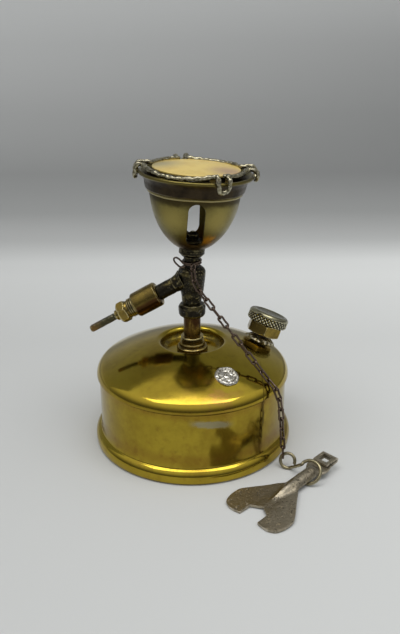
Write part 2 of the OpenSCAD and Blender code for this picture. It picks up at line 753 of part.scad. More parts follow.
module burner_cup() {
    outline = concat(
        [[cup_bottom_hole_r, 0], [cup_floor_r, 0]],
        [for (i = [1:14]) let (h = cup_h * pow(i / 14, 1.3)) [cup_curve(h), h]]
    );
    color(brass) leaning() translate([0, 0, cup_z]) difference() {
        rotate_extrude() polygon(sheet(outline, cup_t));
        for (i = [0:slot_count - 1])
            rotate([0, 0, slot_turn + 360 * i / slot_count]) translate([cup_floor_r - 2, 0, 0]) air_slot();
        translate([0, 0, cup_h]) cylinder(r = cup_r + 1, h = 2);
    }
}
module burner_band() {
    flare_z = cup_t + band_h;
    wall_outline = concat(
        [[ledge_r, 0], [cup_r + bead_t, 0]],
        arc([band_r - 0.9, 0.9], 0.9, -60, 0, 4),
        [[band_r + 0.4, flare_z]],
        [for (i = [1:6]) [band_r + 0.4 + (rim_r - band_r - 0.4) * pow(i / 6, 1.5), flare_z + rim_h * i / 6]]
    );
    color([0.3, 0.22, 0.14]) leaning() translate([0, 0, band_z]) {
        rotate_extrude() polygon(sheet(wall_outline, cup_t));
        translate([0, 0, flare_z + rim_h]) rotate_extrude()
            translate([rim_r - 0.3, 0]) circle(rim_bead_r, $fn = 24);
        translate([0, 0, -bead_h / 2]) rotate_extrude()
            polygon([[cup_r + seat_gap, -bead_h / 2], [cup_r + bead_t, -0.2], [cup_r + bead_t, bead_h / 2],
                [cup_r + seat_gap, bead_h / 2]]);
    }
}
function plate_rise(r) = plate_dome * (1 - pow(r / plate_r, 2.4));
module flame_plate() {
    dish = [for (i = [0:12]) let (r = plate_r * i / 12) [r, plate_rise(r)]];
    leg_h = plate_z - band_z - cup_t;
    color([0.85, 0.68, 0.3]) leaning() {
        translate([0, 0, plate_z]) rotate_extrude() polygon(sheet(dish, plate_t));
        for (a = [20:90:290]) rotate([0, 0, a]) translate([0, 0, band_z + cup_t])
            rotate_extrude(angle = plate_leg_w) translate([plate_leg_reach - plate_t / 2, 0])
                square([plate_t, leg_h + 0.3]);
    }
}
function clip_loop(a) = let (
        half = clip_loop_w / 2,
        far = rim_r + rim_bead_r + clip_reach + clip_wire / 2,
        near = sqrt(clip_ring_r * clip_ring_r - half * half),
        low = clip_z - clip_hook,
        side = [[near, 0], [far - 1.4, 0], [far - 0.4, -0.4], [far, -1.4], [far, low - clip_z]]
    ) [for (q = concat(
        [for (p = side) [p.x, -half, p.y]],
        [for (i = [1:5]) let (t = 30 * i) [far, -half * cos(t), low - clip_z - half * 0.8 * sin(t)]],
        [for (i = [len(side) - 1:-1:0]) [side[i].x, half, side[i].y]]
    )) [q.x * cos(a) - q.y * sin(a), q.x * sin(a) + q.y * cos(a), q.z]];
module retaining_wire() {
    color([0.35, 0.3, 0.2]) leaning() translate([0, 0, clip_z]) {
        rotate_extrude() translate([clip_ring_r, 0]) circle(d = clip_wire, $fn = 16);
        for (a = clip_turns) wire(clip_loop(a), clip_wire, 8);
    }
}

// The chain, its hook and the spanner
module link() {
    mid = (link_w - link_wire) / 2;
    half = (link_pitch + link_wire + link_play) / 2 - mid;
    for (m = [0, 1]) mirror([m, 0, 0]) {
        translate([half, 0, 0]) rotate([0, 0, -90]) rotate_extrude(angle = 180)
            translate([mid, 0]) circle(d = link_wire, $fn = 24);
        for (y = [-mid, mid]) translate([0, y, 0]) rotate([0, 90, 0])
            cylinder(d = link_wire, h = half, $fn = 24);
    }
}
module chain(route, twist) {
    count = link_count(route);
    color([0.55, 0.42, 0.28]) for (i = [0:count - 1]) {
        a = link_place(route, i);
        b = link_place(route, i + 1);
        way = unit(b - a);
        level = unit(chain_side - (chain_side * way) * way);
        turn = twist * i / (count - 1) + (i % 2 == 1 ? 0 : 90);
        placed((a + b) / 2, way, cos(turn) * level + sin(turn) * cross(way, level)) link();
    }
}
module chain_upper() {
    chain(upper_route, 0);
}
module chain_lower() {
    chain(lower_route, lower_twist);
}
module neck_wire() {
    loop_r = neck_r + turn_gap + tie_wire / 2;
    loop_z = eye_place.z + tie_eye_r - 0.4;
    color(dark_brass) {
        translate([0, 0, loop_z]) rotate_extrude()
            translate([loop_r, 0]) circle(d = tie_wire, $fn = 24);
        placed(eye_place, chain_side, [0, 0, 1]) rotate_extrude()
            translate([tie_eye_r, 0]) circle(d = tie_wire, $fn = 24);
        rod([0, -loop_r, loop_z], eye_place + [0, 0, tie_eye_r], tie_wire - 0.1);
        for (m = [-1, 1]) rod([-loop_r * cos(20), -loop_r * sin(20), loop_z],
            [-loop_r - tie_tail_l, 0.8 * m - 1.8, loop_z + 1.6 + 0.3 * m], tie_wire - 0.1);
    }
}
module s_hook() {
    eye = [for (i = [0:15]) let (t = eye_start + eye_bend * i / 15)
        hook_eye + hook_eye_r * (cos(t) * eye_across + sin(t) * eye_up)];
    loop = [for (i = [0:16]) let (t = loop_start - loop_bend * i / 16)
        hook_loop + hook_loop_r * (cos(t) * loop_across + sin(t) * loop_up)];
    color(brass) wire(concat(eye, loop), hook_wire, 10);
}
function fork_side(m) = [for (p = [[0, 0.5], [0, 0.68], [0.05, 0.87], [0.18, 0.98], [0.3, 1],
    [0.4, 0.98], [0.5, 0.86], [0.8, 0.46], [0.92, 0.34], [1, 0.28]]) [p.x * fork_l, m * p.y * fork_r]];
module shank_sheet(r1, r2, h) {
    rotate([0, 90, 0]) difference() {
        cylinder(r1 = r1, r2 = r2, h = h);
        translate([0, 0, -0.01]) cylinder(r1 = r1 - key_t, r2 = r2 - key_t, h = h + 0.02);
        translate([0, -10, -1]) cube([10, 20, h + 2]);
    }
}
module spanner() {
    jaw_af = gland_af + jaw_play;
    shank_end = key_l - tab_l;
    hole = spindle_square + socket_play;
    jaw_corner = jaw_depth - jaw_af / sqrt(12);
    jaw = [[0.6, -jaw_af / 2], [jaw_corner, -jaw_af / 2], [jaw_depth, 0], [jaw_corner, jaw_af / 2],
        [0.6, jaw_af / 2]];
    color([0.42, 0.4, 0.34]) on_ground() difference() {
        union() {
            linear_extrude(key_t) polygon(concat(jaw, fork_side(1), [for (i = [9:-1:0]) fork_side(-1)[i]]));
            translate([fork_l - 1, 0, 0]) shank_sheet(shank_r, shank_r, shank_end - fork_l + 1);
            translate([shank_end - 0.5, -fold_w / 2, 0]) cube([key_l - shank_end + 0.5, fold_w, key_t]);
            translate([key_l - fold_l, -fold_w / 2, 0.5]) cube([fold_l, fold_w, 2 * key_t]);
        }
        translate([key_l - fold_l / 2 - hole / 2, -hole / 2, -1]) cube([hole, hole, 3 * key_t + 2]);
    }
}

tank_wall();
tank_bottom();
tank_cover();
fusible_plug();
filler_boss();
filler_solder();
filler_gasket();
filler_screw();
cap_head();
riser_socket();
riser_tube();
union_ring();
wick();
valve_body();
branch_tube();
packing_housing();
packing();
gland_nut();
valve_spindle();
burner_collar();
jet_holder();
jet_nipple();
burner_cup();
burner_band();
flame_plate();
retaining_wire();
neck_wire();
chain_upper();
chain_lower();
s_hook();
spanner();
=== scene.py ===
import json
import math

import bmesh
import bpy
from mathutils import Matrix, Vector, noise


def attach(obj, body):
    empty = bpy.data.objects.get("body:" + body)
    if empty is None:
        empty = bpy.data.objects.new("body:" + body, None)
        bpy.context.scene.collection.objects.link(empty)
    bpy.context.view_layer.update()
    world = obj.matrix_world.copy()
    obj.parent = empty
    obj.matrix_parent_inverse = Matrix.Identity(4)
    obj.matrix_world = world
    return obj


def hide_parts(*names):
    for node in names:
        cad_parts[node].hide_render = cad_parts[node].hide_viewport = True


noise.seed_set(7)   # the same lumps on every run

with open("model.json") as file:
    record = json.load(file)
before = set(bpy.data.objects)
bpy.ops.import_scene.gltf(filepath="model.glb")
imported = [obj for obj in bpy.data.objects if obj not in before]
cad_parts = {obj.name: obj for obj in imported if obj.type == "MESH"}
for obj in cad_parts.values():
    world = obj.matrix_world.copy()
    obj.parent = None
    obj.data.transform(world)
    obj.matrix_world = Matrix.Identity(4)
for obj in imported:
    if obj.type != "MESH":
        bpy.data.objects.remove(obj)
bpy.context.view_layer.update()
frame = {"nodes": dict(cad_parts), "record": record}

# Every length below is in millimetres, unless its note says otherwise. Meshes go to metres as they are made.
# The camera and the studio come first, then the tools, the finishes and the pieces.

camera = {
    "place": (0, -308.6, 188.3),
    "pitchDown": 22.39,
    "yaw": 0.69,
    "roll": -0.18,
    "lens": 40.13,
}

studio = {
    # painted light: the paper's paleness by distance behind the stove, in millimetres, then up the backdrop
    "paper": [(-300, 0.65), (0, 0.64), (110, 0.635), (235, 0.73), (275, 0.72), (340, 0.50), (450, 0.36), (660, 0.305),
              (900, 0.39), (1130, 0.53), (1300, 0.70), (1700, 0.73)],
    "tint": (0.975, 1.0, 0.99),
    "rightLift": 0.0006,
    "sky": 0.80,
    "front": 0.13,
    "lampPower": 5.2,
    "lampSize": (1.25, 0.42),         # in metres
    "lampPlace": (0.0, -0.15, 1.04),  # in metres
}


def turnY(a):
    return Matrix.Rotation(math.radians(a), 4, "Y")


def turnZ(a):
    return Matrix.Rotation(math.radians(a), 4, "Z")


def shift(x, y, z):
    return Matrix.Translation((x, y, z))


def addObject(name, data):
    obj = bpy.data.objects.new(name, data)
    bpy.context.scene.collection.objects.link(obj)
    return obj


def makeCamera():
    data = bpy.data.cameras.new("photoCamera")
    data.lens = camera["lens"]
    data.sensor_width = 36
    data.clip_start = 0.01
    data.clip_end = 60
    cam = addObject("photoCamera", data)
    pitch, yaw, roll = (math.radians(camera[k]) for k in ("pitchDown", "yaw", "roll"))
    ahead = Vector((math.sin(yaw) * math.cos(pitch), math.cos(yaw) * math.cos(pitch), -math.sin(pitch)))
    level = Vector((math.cos(yaw), -math.sin(yaw), 0))
    above = level.cross(ahead)
    right = math.cos(roll) * level + math.sin(roll) * above
    up = right.cross(ahead)
    turn = Matrix((right, up, -ahead)).transposed().to_4x4()
    cam.matrix_world = Matrix.Translation(Vector(camera["place"]) / 1000) @ turn
    bpy.context.scene.camera = cam


makeCamera()
bpy.context.scene.view_settings.view_transform = "Standard"
print("camera placed")


# a socket that can be used in sums, and the graph that it lives in
class Signal:
    def __init__(self, graph, socket):
        self.graph = graph
        self.socket = socket

    def __add__(self, other):
        return self.graph.maths("ADD", self, other)

    def __sub__(self, other):
        return self.graph.maths("SUBTRACT", self, other)

    def __rsub__(self, other):
        return self.graph.maths("SUBTRACT", other, self)

    def __mul__(self, other):
        return self.graph.maths("MULTIPLY", self, other)

    def __truediv__(self, other):
        return self.graph.maths("DIVIDE", self, other)

    def __rtruediv__(self, other):
        return self.graph.maths("DIVIDE", other, self)

    __radd__, __rmul__ = __add__, __mul__

    def least(self, other):
        return self.graph.maths("MINIMUM", self, other)

    def most(self, other):
        return self.graph.maths("MAXIMUM", self, other)

    def ease(self, low, high):   # 0 below low, 1 above high, smooth between; falls where low is the larger
        up = low < high
        node = self.graph.node("ShaderNodeMapRange", {"interpolation_type": "SMOOTHSTEP"}, {
            "Value": self, "From Min": low if up else high, "From Max": high if up else low,
            "To Min": 0 if up else 1, "To Max": 1 if up else 0})
        return Signal(self.graph, node.outputs["Result"])

    def bell(self, middle, width):   # 1 at middle, 0 a width away
        return self.graph.maths("ABSOLUTE", self - middle).ease(width, 0)


class Graph:
    def __init__(self, owner):   # the owner is a material or the world
        owner.use_nodes = True
        self.tree = owner.node_tree
        self.tree.nodes.clear()

    def node(self, kind, settings=None, inputs=None):
        made = self.tree.nodes.new(kind)
        for key, value in (settings or {}).items():
            if key == "stops":
                ramp = made.color_ramp.elements
                while len(ramp) < len(value):
                    ramp.new(0.5)
                for stop, (where, colour) in zip(ramp, value):
                    stop.position = where
                    stop.color = (*colour, 1)
            else:
                setattr(made, key, value)
        for key, value in (inputs or {}).items():
            socket = made.inputs[key]
            if isinstance(value, Signal):
                self.tree.links.new(value.socket, socket)
            elif isinstance(value, (tuple, list)) and len(value) == 3 and len(socket.default_value) == 4:
                socket.default_value = (*value, 1)
            else:
                socket.default_value = value
        return made

    def out(self, node, name):
        return Signal(self, node.outputs[name])

    def maths(self, operation, *values):
        made = self.node("ShaderNodeMath", {"operation": operation}, dict(enumerate(values)))
        return self.out(made, "Value")

    def place(self):   # where a point is, in millimetres
        where = self.out(self.node("ShaderNodeTexCoord"), "Object")
        made = self.node("ShaderNodeVectorMath", {"operation": "SCALE"}, {0: where, "Scale": 1000.0})
        return self.out(made, "Vector")

    def stretched(self, vector, across, turn=(0, 0, 0)):
        made = self.node("ShaderNodeMapping", None, {
            "Vector": vector, "Scale": across, "Rotation": tuple(math.radians(a) for a in turn)})
        return self.out(made, "Vector")

    def parts(self, vector):
        made = self.node("ShaderNodeSeparateXYZ", None, {0: vector})
        return tuple(self.out(made, axis) for axis in "XYZ")

    def grain(self, vector, size, detail=3.0, rough=0.55, warp=0.0):
        made = self.node("ShaderNodeTexNoise", None, {
            "Vector": vector, "Scale": 1.0 / size, "Detail": detail, "Roughness": rough, "Distortion": warp})
        return self.out(made, "Fac")

    def cells(self, vector, size):
        made = self.node("ShaderNodeTexVoronoi", None, {"Vector": vector, "Scale": 1.0 / size})
        return self.out(made, "Distance")

    def mix(self, factor, first, second):
        made = self.node("ShaderNodeMix", {"data_type": "RGBA"}, {0: factor, 6: first, 7: second})
        return Signal(self, made.outputs[2])

    def near(self, vector, spot, reach):   # 1 at a spot, 0 a reach away
        made = self.node("ShaderNodeVectorMath", {"operation": "DISTANCE"}, {0: vector, 1: spot})
        return self.out(made, "Value").ease(reach, 0)

    def wear(self):   # above zero on outer edges, below zero in hollows
        return self.out(self.node("ShaderNodeAttribute", {"attribute_name": "wear"}), "Fac")

    def show(self, shader, target="ShaderNodeOutputMaterial"):
        self.node(target, None, {"Surface": Signal(self, shader.outputs[0])})


# finishes: one recipe for worn metal, and each metal's own values

plainLook = {
    "clean": (0.4, 0.3, 0.08),     # polished metal
    "tinted": (0.3, 0.2, 0.05),    # broad tarnish
    "cloud": 18,                   # size of the tarnish clouds
    "tintFrom": 0.35,
    "tintTo": 0.7,
    "dirt": (0.03, 0.025, 0.015),  # in hollows and pits
    "dirtAmount": 0.9,
    "edge": (0.6, 0.48, 0.2),      # where edges rub bright
    "edgeAmount": 0.6,
    "rough": 0.25,
    "roughTint": 0.12,
    "scratch": 0.08,
    "bump": 0.15,
    "bumpSize": 0.6,
    "pits": 0.2,
    "pitSize": 2.2,
    "metallic": 1.0,
    "crust": None,                 # pale corrosion, where there is any
    "crustFrom": 0.6,
    "crustTo": 0.7,
    "crustSize": 3,
}


class Patina:   # a finish as it is so far at each point, and what is laid over it
    def __init__(self, graph, place, colour, rough, height):
        self.graph = graph
        self.place = place
        self.colour = colour
        self.rough = rough
        self.height = height

    def grain(self, size, *detail):
        return self.graph.grain(self.place, size, *detail)

    def near(self, spot, reach):
        return self.graph.near(self.place, spot, reach)

    def lay(self, mask, colour, rough=None):
        self.colour = self.graph.mix(mask, self.colour, colour)
        if rough is not None:
            self.rough = self.rough + (rough - self.rough) * mask


def metal(name, marks=None, **own):
    look = {**plainLook, **own}
    material = bpy.data.materials.new(name)
    g = Graph(material)
    place = g.place()
    cloud = g.grain(place, look["cloud"], 4, 0.6, 0.4)
    fine = g.grain(place, look["cloud"] / 9, 4, 0.62)
    tarnish = (cloud * 0.75 + fine * 0.25).ease(look["tintFrom"], look["tintTo"])
    smear = g.grain(g.stretched(place, (0.16, 0.16, 1.3), (14, 9, 0)), 2.2, 3, 0.6)
    hair = g.grain(g.stretched(place, (0.08, 2.2, 0.5), (22, 38, 17)), 0.45, 2, 0.5)
    rubbed = hair.ease(0.63, 0.72) * g.grain(place, 7, 2).ease(0.42, 0.6) * look["scratch"]
    pit = g.cells(place, look["pitSize"]).ease(0.24, 0.06) * g.grain(place, look["pitSize"] * 2.6, 2).ease(0.46, 0.6)
    wear = g.wear()
    hollow = (wear * -1 + (fine - 0.5) * 0.5).ease(0.03, 0.42) * look["dirtAmount"]
    edge = (wear + (fine - 0.5) * 0.7).ease(0.12, 0.62) * look["edgeAmount"]
    grime = (hollow + pit * look["pits"]).least(1.0)
    skin = Patina(g, place, g.mix(tarnish, look["clean"], look["tinted"]),
                  look["rough"] + tarnish * look["roughTint"] + (smear - 0.5) * 0.14 + rubbed,
                  g.grain(place, look["bumpSize"], 4, 0.6) * 0.7 - pit * look["pits"] * 1.6 - rubbed * 0.6)
    if marks:
        marks(skin, *g.parts(place))
    skin.lay(edge, look["edge"])
    skin.lay(grime, look["dirt"])
    rough = skin.rough + grime * 0.3 - edge * 0.05
    height = skin.height
    shine = 1.0 - grime * 0.55
    if look["crust"]:
        scale = g.grain(place, look["crustSize"], 5, 0.7, 0.6).ease(look["crustFrom"], look["crustTo"])
        skin.lay(scale, look["crust"])
        rough = rough + scale * 0.35
        shine = shine * (1.0 - scale * 0.85)
        height = height + scale * 0.5
    bump = g.node("ShaderNodeBump", None, {"Height": height, "Strength": look["bump"], "Distance": 0.0003})
    g.show(g.node("ShaderNodeBsdfPrincipled", None, {
        "Base Color": skin.colour, "Roughness": rough.most(0.04).least(1.0),
        "Metallic": (shine * look["metallic"]).most(0.0), "Normal": g.out(bump, "Normal")}))
    return material


def tankMarks(skin, x, y, z):
    wave = (skin.grain(9, 3) - 0.5) * 3
    # painted highlight: a paler band round the shoulder and the foot's ring, where the bright highlights fall
    skin.lay(z.bell(38.0, 2.6) * 0.6 + z.bell(2.6, 3) * 0.35, (0.50, 0.36, 0.04))
    # brown under the cover's lip and above the foot
    mottle = skin.grain(5, 5, 0.65).ease(0.50, 0.66) * z.ease(36, 33) * 0.3
    warm = (z + wave).bell(33.5, 4) * 0.35 + (z + wave).bell(11, 5) * 0.4 + mottle
    skin.lay(warm, (0.24, 0.12, 0.02), 0.3)
    rose = skin.near((10, -38, 42), 18) * skin.grain(6, 4).ease(0.45, 0.62) * 0.5
    skin.lay(rose, (0.42, 0.20, 0.07))
    # painted shadow: a dark line on the wall just under the cover's lip
    lipShadowLine = z.bell(34.0, 0.6) * 0.85
    skin.lay(lipShadowLine, (0.02, 0.012, 0.005), 0.6)
    # a pale rubbed streak in the middle of the wall
    ragged = z + x * 0.12 + (skin.grain(2.4, 4) - 0.5) * 2.2
    streak = ragged.bell(29.8, 2.3) * x.bell(8, 11) * y.ease(-30, -36)
    skin.lay((streak * 2.2).least(0.85), (0.34, 0.31, 0.19), 0.42)
    skin.height = skin.height - streak * 0.3
    # painted shadow and reflection of the hanging chain: a dark line down the wall's front right
    chainShadowLine = ((x - 31.5) + (skin.grain(5, 2) - 0.5) * 1.2).bell(0, 0.5) * z.ease(20, 24) * y.ease(-10, -20)
    skin.lay(chainShadowLine * 0.7, (0.04, 0.02, 0.008), 0.5)


def cupMarks(skin, x, y, z):
    wave = (skin.grain(5, 4) - 0.5) * 8
    gold = (skin.near((-9, -18, 112), 13) + skin.near((12, -17, 110), 12)) * 0.8
    skin.lay(gold.least(0.8), (0.36, 0.29, 0.085))
    heat = (z + wave * 0.8).ease(106, 98)
    skin.lay(heat * 0.8, (0.11, 0.055, 0.012), 0.34)
    orange = skin.near((7.5, -12.5, 101.5), 5) * skin.grain(3, 3).ease(0.35, 0.5) * 1.2
    skin.lay(orange.least(0.8), (0.66, 0.30, 0.02))
    soot = (z + x * 0.06 + wave * 0.5).ease(117.2, 119.8) * 0.85
    skin.lay(soot, (0.045, 0.032, 0.014), 0.5)


def bandMarks(skin, x, y, z):
    level = z + x * 0.0594   # the burner leans
    wave = (skin.grain(4, 4) - 0.5) * 2
    rim = (level + wave).ease(127.4, 129.2)
    skin.lay(rim, (0.16, 0.13, 0.038), 0.30)
    bead = (level + wave * 0.3).ease(122.8, 121.8) * 0.9
    skin.lay(bead, (0.42, 0.36, 0.17), 0.28)


def solderMarks(skin, x, y, z):
    brassy = skin.near((34, 16.5, 42.5), 22).least(0.5) * 1.7   # the filler's joint is smeared with brass
    green = skin.grain(1.6, 4).ease(0.54, 0.64) * brassy
    skin.lay(brassy, (0.36, 0.28, 0.075), 0.36)
    skin.lay(green * 0.7, (0.42, 0.42, 0.28), 0.5)


def plateMarks(skin, x, y, z):
    skin.lay(skin.near((16, -8, 130), 13) * 0.9, (0.42, 0.27, 0.18))         # pinkish
    skin.lay(skin.near((-14, 2, 132), 15) * 0.9, (0.36, 0.32, 0.17), 0.34)   # grey


def fittingReflection(skin, x, y, z):
    above = x * -0.485 + (z - 81.96) * 0.875   # how far above the side valve's axis
    wave = (skin.grain(4, 4) - 0.5) * 3
    # painted reflection: the packing sleeve and gland nut are darker brown below the side valve's axis
    paintedDarkReflection = (above + wave).ease(1.6, -0.4) * x.ease(-27, -25.5) * x.ease(-12, -15)
    skin.lay(paintedDarkReflection * 0.95, (0.052, 0.021, 0.008), 0.24)


def riserMarks(skin, x, y, z):
    runs = skin.graph.grain(skin.graph.stretched(skin.place, (1, 1, 0.25)), 1.8, 4)
    dark = (runs + (z - 57) * 0.03).ease(0.42, 0.62)
    skin.lay(dark * 0.8, (0.05, 0.02, 0.01), 0.42)


def spindleMarks(skin, x, y, z):
    tip = x.ease(-42, -46) * skin.grain(2, 3).ease(0.3, 0.5)
    skin.lay(tip * 0.8, (0.22, 0.125, 0.04), 0.4)


def spannerMarks(skin, x, y, z):
    dark = skin.grain(1.3, 3, 0.7).ease(0.54, 0.62) * skin.grain(8, 2).ease(0.35, 0.6)
    skin.lay(dark * 0.85, (0.045, 0.036, 0.022), 0.6)
    pale = skin.grain(1.1, 2, 0.6).ease(0.61, 0.67) * 0.9
    skin.lay(pale, (0.55, 0.47, 0.33), 0.4)
    skin.height = skin.height - dark * 0.35


finishes = {
    "tank_brass": metal("tankBrass", tankMarks, clean=(0.42, 0.315, 0.034), tinted=(0.285, 0.195, 0.022),
        cloud=26, edge=(0.62, 0.47, 0.07), edgeAmount=0.55, dirt=(0.05, 0.028, 0.008), rough=0.10,
        roughTint=0.06, scratch=0.10, bump=0.05, bumpSize=1.6, pits=0.10, pitSize=2.4),
    "bottom_brass": metal("bottomBrass", clean=(0.26, 0.19, 0.05), tinted=(0.16, 0.11, 0.04), rough=0.38,
        scratch=0.2),
    "solder": metal("greySolder", solderMarks, clean=(0.62, 0.60, 0.54), tinted=(0.42, 0.40, 0.33), cloud=3,
        edge=(0.85, 0.83, 0.78), dirt=(0.10, 0.085, 0.05), rough=0.24, bump=0.5, bumpSize=1.1, pits=0.3,
        pitSize=1.1),
    "fitting_brass": metal("fittingBrass", fittingReflection, clean=(0.29, 0.205, 0.045), tinted=(0.14, 0.10, 0.032),
        cloud=7, edge=(0.66, 0.55, 0.26), edgeAmount=0.75, dirt=(0.025, 0.02, 0.01), rough=0.17, bump=0.22,
        bumpSize=0.5, pits=0.35, pitSize=0.9),
    "riser_brass": metal("riserBrass", riserMarks, clean=(0.20, 0.13, 0.03), tinted=(0.10, 0.055, 0.018),
        cloud=5, edge=(0.45, 0.34, 0.13), rough=0.24, bump=0.25),
    "black_brass": metal("blackBrass", clean=(0.13, 0.105, 0.038), tinted=(0.022, 0.019, 0.013), cloud=5,
        tintFrom=0.32, tintTo=0.52, edge=(0.36, 0.31, 0.16), edgeAmount=0.7, dirt=(0.01, 0.009, 0.007),
        rough=0.25, bump=0.6, bumpSize=0.8, pits=0.7, pitSize=1.1, metallic=0.95, crust=(0.27, 0.265, 0.23),
        crustFrom=0.62, crustTo=0.70, crustSize=2.2),
    "cup_brass": metal("cupBrass", cupMarks, clean=(0.185, 0.158, 0.050), tinted=(0.12, 0.097, 0.032), cloud=9,
        edge=(0.42, 0.36, 0.17), edgeAmount=0.7, dirt=(0.03, 0.022, 0.01), rough=0.30, bump=0.12, bumpSize=1.2,
        pits=0.15),
    "burnt_brass": metal("burntBrass", bandMarks, clean=(0.050, 0.036, 0.020), tinted=(0.022, 0.017, 0.012),
        cloud=6, edge=(0.28, 0.22, 0.09), edgeAmount=0.6, rough=0.34, roughTint=0.15, bump=0.45, bumpSize=0.9,
        pits=0.5, pitSize=1.4, crust=(0.12, 0.105, 0.075), crustFrom=0.67, crustTo=0.74, crustSize=2.2),
    "plate_brass": metal("plateBrass", plateMarks, clean=(0.84, 0.64, 0.19), tinted=(0.72, 0.52, 0.15),
        cloud=10, edge=(0.75, 0.6, 0.3), dirt=(0.12, 0.08, 0.03), rough=0.33, roughTint=0.08, bump=0.10,
        pits=0.05, metallic=0.22),
    "burnt_wire": metal("burntWire", clean=(0.36, 0.325, 0.20), tinted=(0.05, 0.042, 0.022), cloud=4,
        edge=(0.62, 0.58, 0.44), edgeAmount=0.45, rough=0.22, bump=0.7, bumpSize=0.9, pits=0.7, pitSize=0.9,
        crust=(0.16, 0.19, 0.13), crustFrom=0.62, crustTo=0.70, crustSize=2.4),
    # the cap's edge and dirt colours also paint highlights on the knurl's points and shade in its grooves
    "cap_metal": metal("capMetal", clean=(0.31, 0.29, 0.18), tinted=(0.19, 0.175, 0.11), cloud=5,
        edge=(0.86, 0.82, 0.58), edgeAmount=0.85, dirt=(0.012, 0.010, 0.005), dirtAmount=1.0, rough=0.14,
        bump=0.2, bumpSize=0.5, pits=0.3, pitSize=1.0),
    "gasket": metal("fibreWasher", clean=(0.06, 0.05, 0.04), tinted=(0.03, 0.026, 0.022), metallic=0.0,
        rough=0.8, bump=0.5, edge=(0.10, 0.09, 0.07), cloud=2),
    "packing": metal("graphitePacking", clean=(0.07, 0.07, 0.065), tinted=(0.03, 0.03, 0.03), metallic=0.2,
        rough=0.55, bump=0.8, cloud=1),
    "wick": metal("cottonWick", clean=(0.66, 0.60, 0.47), tinted=(0.48, 0.40, 0.27), metallic=0.0, rough=0.9,
        bump=1.0, edge=(0.7, 0.65, 0.55), cloud=2),
    "spindle_steel": metal("spindleSteel", spindleMarks, clean=(0.115, 0.105, 0.055),
        tinted=(0.055, 0.05, 0.028), cloud=2.5, edge=(0.5, 0.45, 0.3), edgeAmount=0.7, rough=0.34, bump=0.5,
        pits=0.5, pitSize=1.0),
    "chain_bronze": metal("chainBronze", clean=(0.062, 0.040, 0.024), tinted=(0.020, 0.013, 0.008), cloud=2.2,
        edge=(0.80, 0.60, 0.48), edgeAmount=0.12, dirt=(0.012, 0.009, 0.006), rough=0.20, bump=0.3, pits=0.4,
        pitSize=0.7),
    "hook_brass": metal("hookBrass", clean=(0.24, 0.20, 0.10), tinted=(0.12, 0.10, 0.05), cloud=4,
        edge=(0.6, 0.55, 0.38), edgeAmount=0.3, rough=0.26, bump=0.3, pits=0.3, pitSize=0.9),
    "spanner_steel": metal("spannerSteel", spannerMarks, clean=(0.38, 0.335, 0.25), tinted=(0.25, 0.215, 0.15),
        cloud=9, edge=(0.66, 0.61, 0.52), edgeAmount=0.75, dirt=(0.03, 0.025, 0.018), rough=0.30, bump=0.9,
        bumpSize=0.9, pits=0.9, pitSize=1.5),
}
slotOf = {part["node"]: part["material_slot"] for part in frame["record"]["subparts"]}
for nodeName, cadObject in frame["nodes"].items():
    cadObject.data.materials.clear()
    cadObject.data.materials.append(finishes[slotOf[nodeName]])
print("finishes made:", len(finishes))


# mesh tools

def unit(v):
    return Vector(v).normalized()


def arc(cx, cy, r, a, b, n):
    return [(cx + r * math.cos(t), cy + r * math.sin(t)) for t in sweep(n, a, b)]


def rounded(points, closed=True, steps=4):   # a corner written (x, y, radius) becomes an arc
    made = []
    n = len(points)
    for i, p in enumerate(points):
        r = p[2] if len(p) > 2 else 0
        here = Vector(p[:2])
        if r <= 0 or (not closed and i in (0, n - 1)):
            made.append(here)
            continue
        before = Vector(points[i - 1][:2]) - here
        after = Vector(points[(i + 1) % n][:2]) - here
        half = before.angle(after) / 2
        run = min(r / math.tan(half), before.length * 0.49, after.length * 0.49)
        first, last = here + before.normalized() * run, here + after.normalized() * run
        made += [bezier(first, here, last, k / steps) for k in range(steps + 1)]
    return made


def sheetOf(outline, t, end=0.3):   # the outline, then the same line offset by t, its ends rounded over
    line = [Vector(p[:2]) for p in outline]
    inside = []
    for i, p in enumerate(line):
        a = line[i] - line[i - 1] if i else line[1] - line[0]
        b = line[i + 1] - line[i] if i < len(line) - 1 else a
        m = Vector((-a.y, a.x)).normalized() + Vector((-b.y, b.x)).normalized()
        q = p + m * (2 / m.length_squared) * t
        inside.append(Vector((0, q.y)) if p.x == 0 else q)
    ring = [tuple(p) for p in line] + [tuple(p) for p in reversed(inside)]
    for i in (0, len(line) - 1, len(line), len(ring) - 1):
        if ring[i][0] > 0:
            ring[i] = (*ring[i], abs(t) * end)
    return rounded(ring, True, 3)


def divided(points, longest, closed=True):
    made = []
    n = len(points)
    for i in range(n if closed else n - 1):
        a, b = Vector(points[i]), Vector(points[(i + 1) % n])
        made.append(a)
        if a.x == 0 and b.x == 0:
            continue
        count = max(1, math.ceil((b - a).length / longest))
        made += [a.lerp(b, k / count) for k in range(1, count)]
    if not closed:
        made.append(Vector(points[-1]))
    return made


def lumps(*layers):   # moves points about at random, by layers of (size, seed, amount)
    def move(p):
        return sum((noise.noise_vector(Vector((p.x / size + seed, p.y / size - seed, p.z / size + 2 * seed))) * amount
                    for size, seed, amount in layers), Vector())
    return move


def bezier(a, b, c, t):
    return (1 - t) ** 2 * a + 2 * t * (1 - t) * b + t * t * c


def clamp(v):
    return min(1.0, max(0.0, v))


def unique(*items):
    return list(dict.fromkeys(items))


def sweep(n, a, b):   # n + 1 angles from a to b degrees, in radians
    return [math.radians(a + (b - a) * i / n) for i in range(n + 1)]


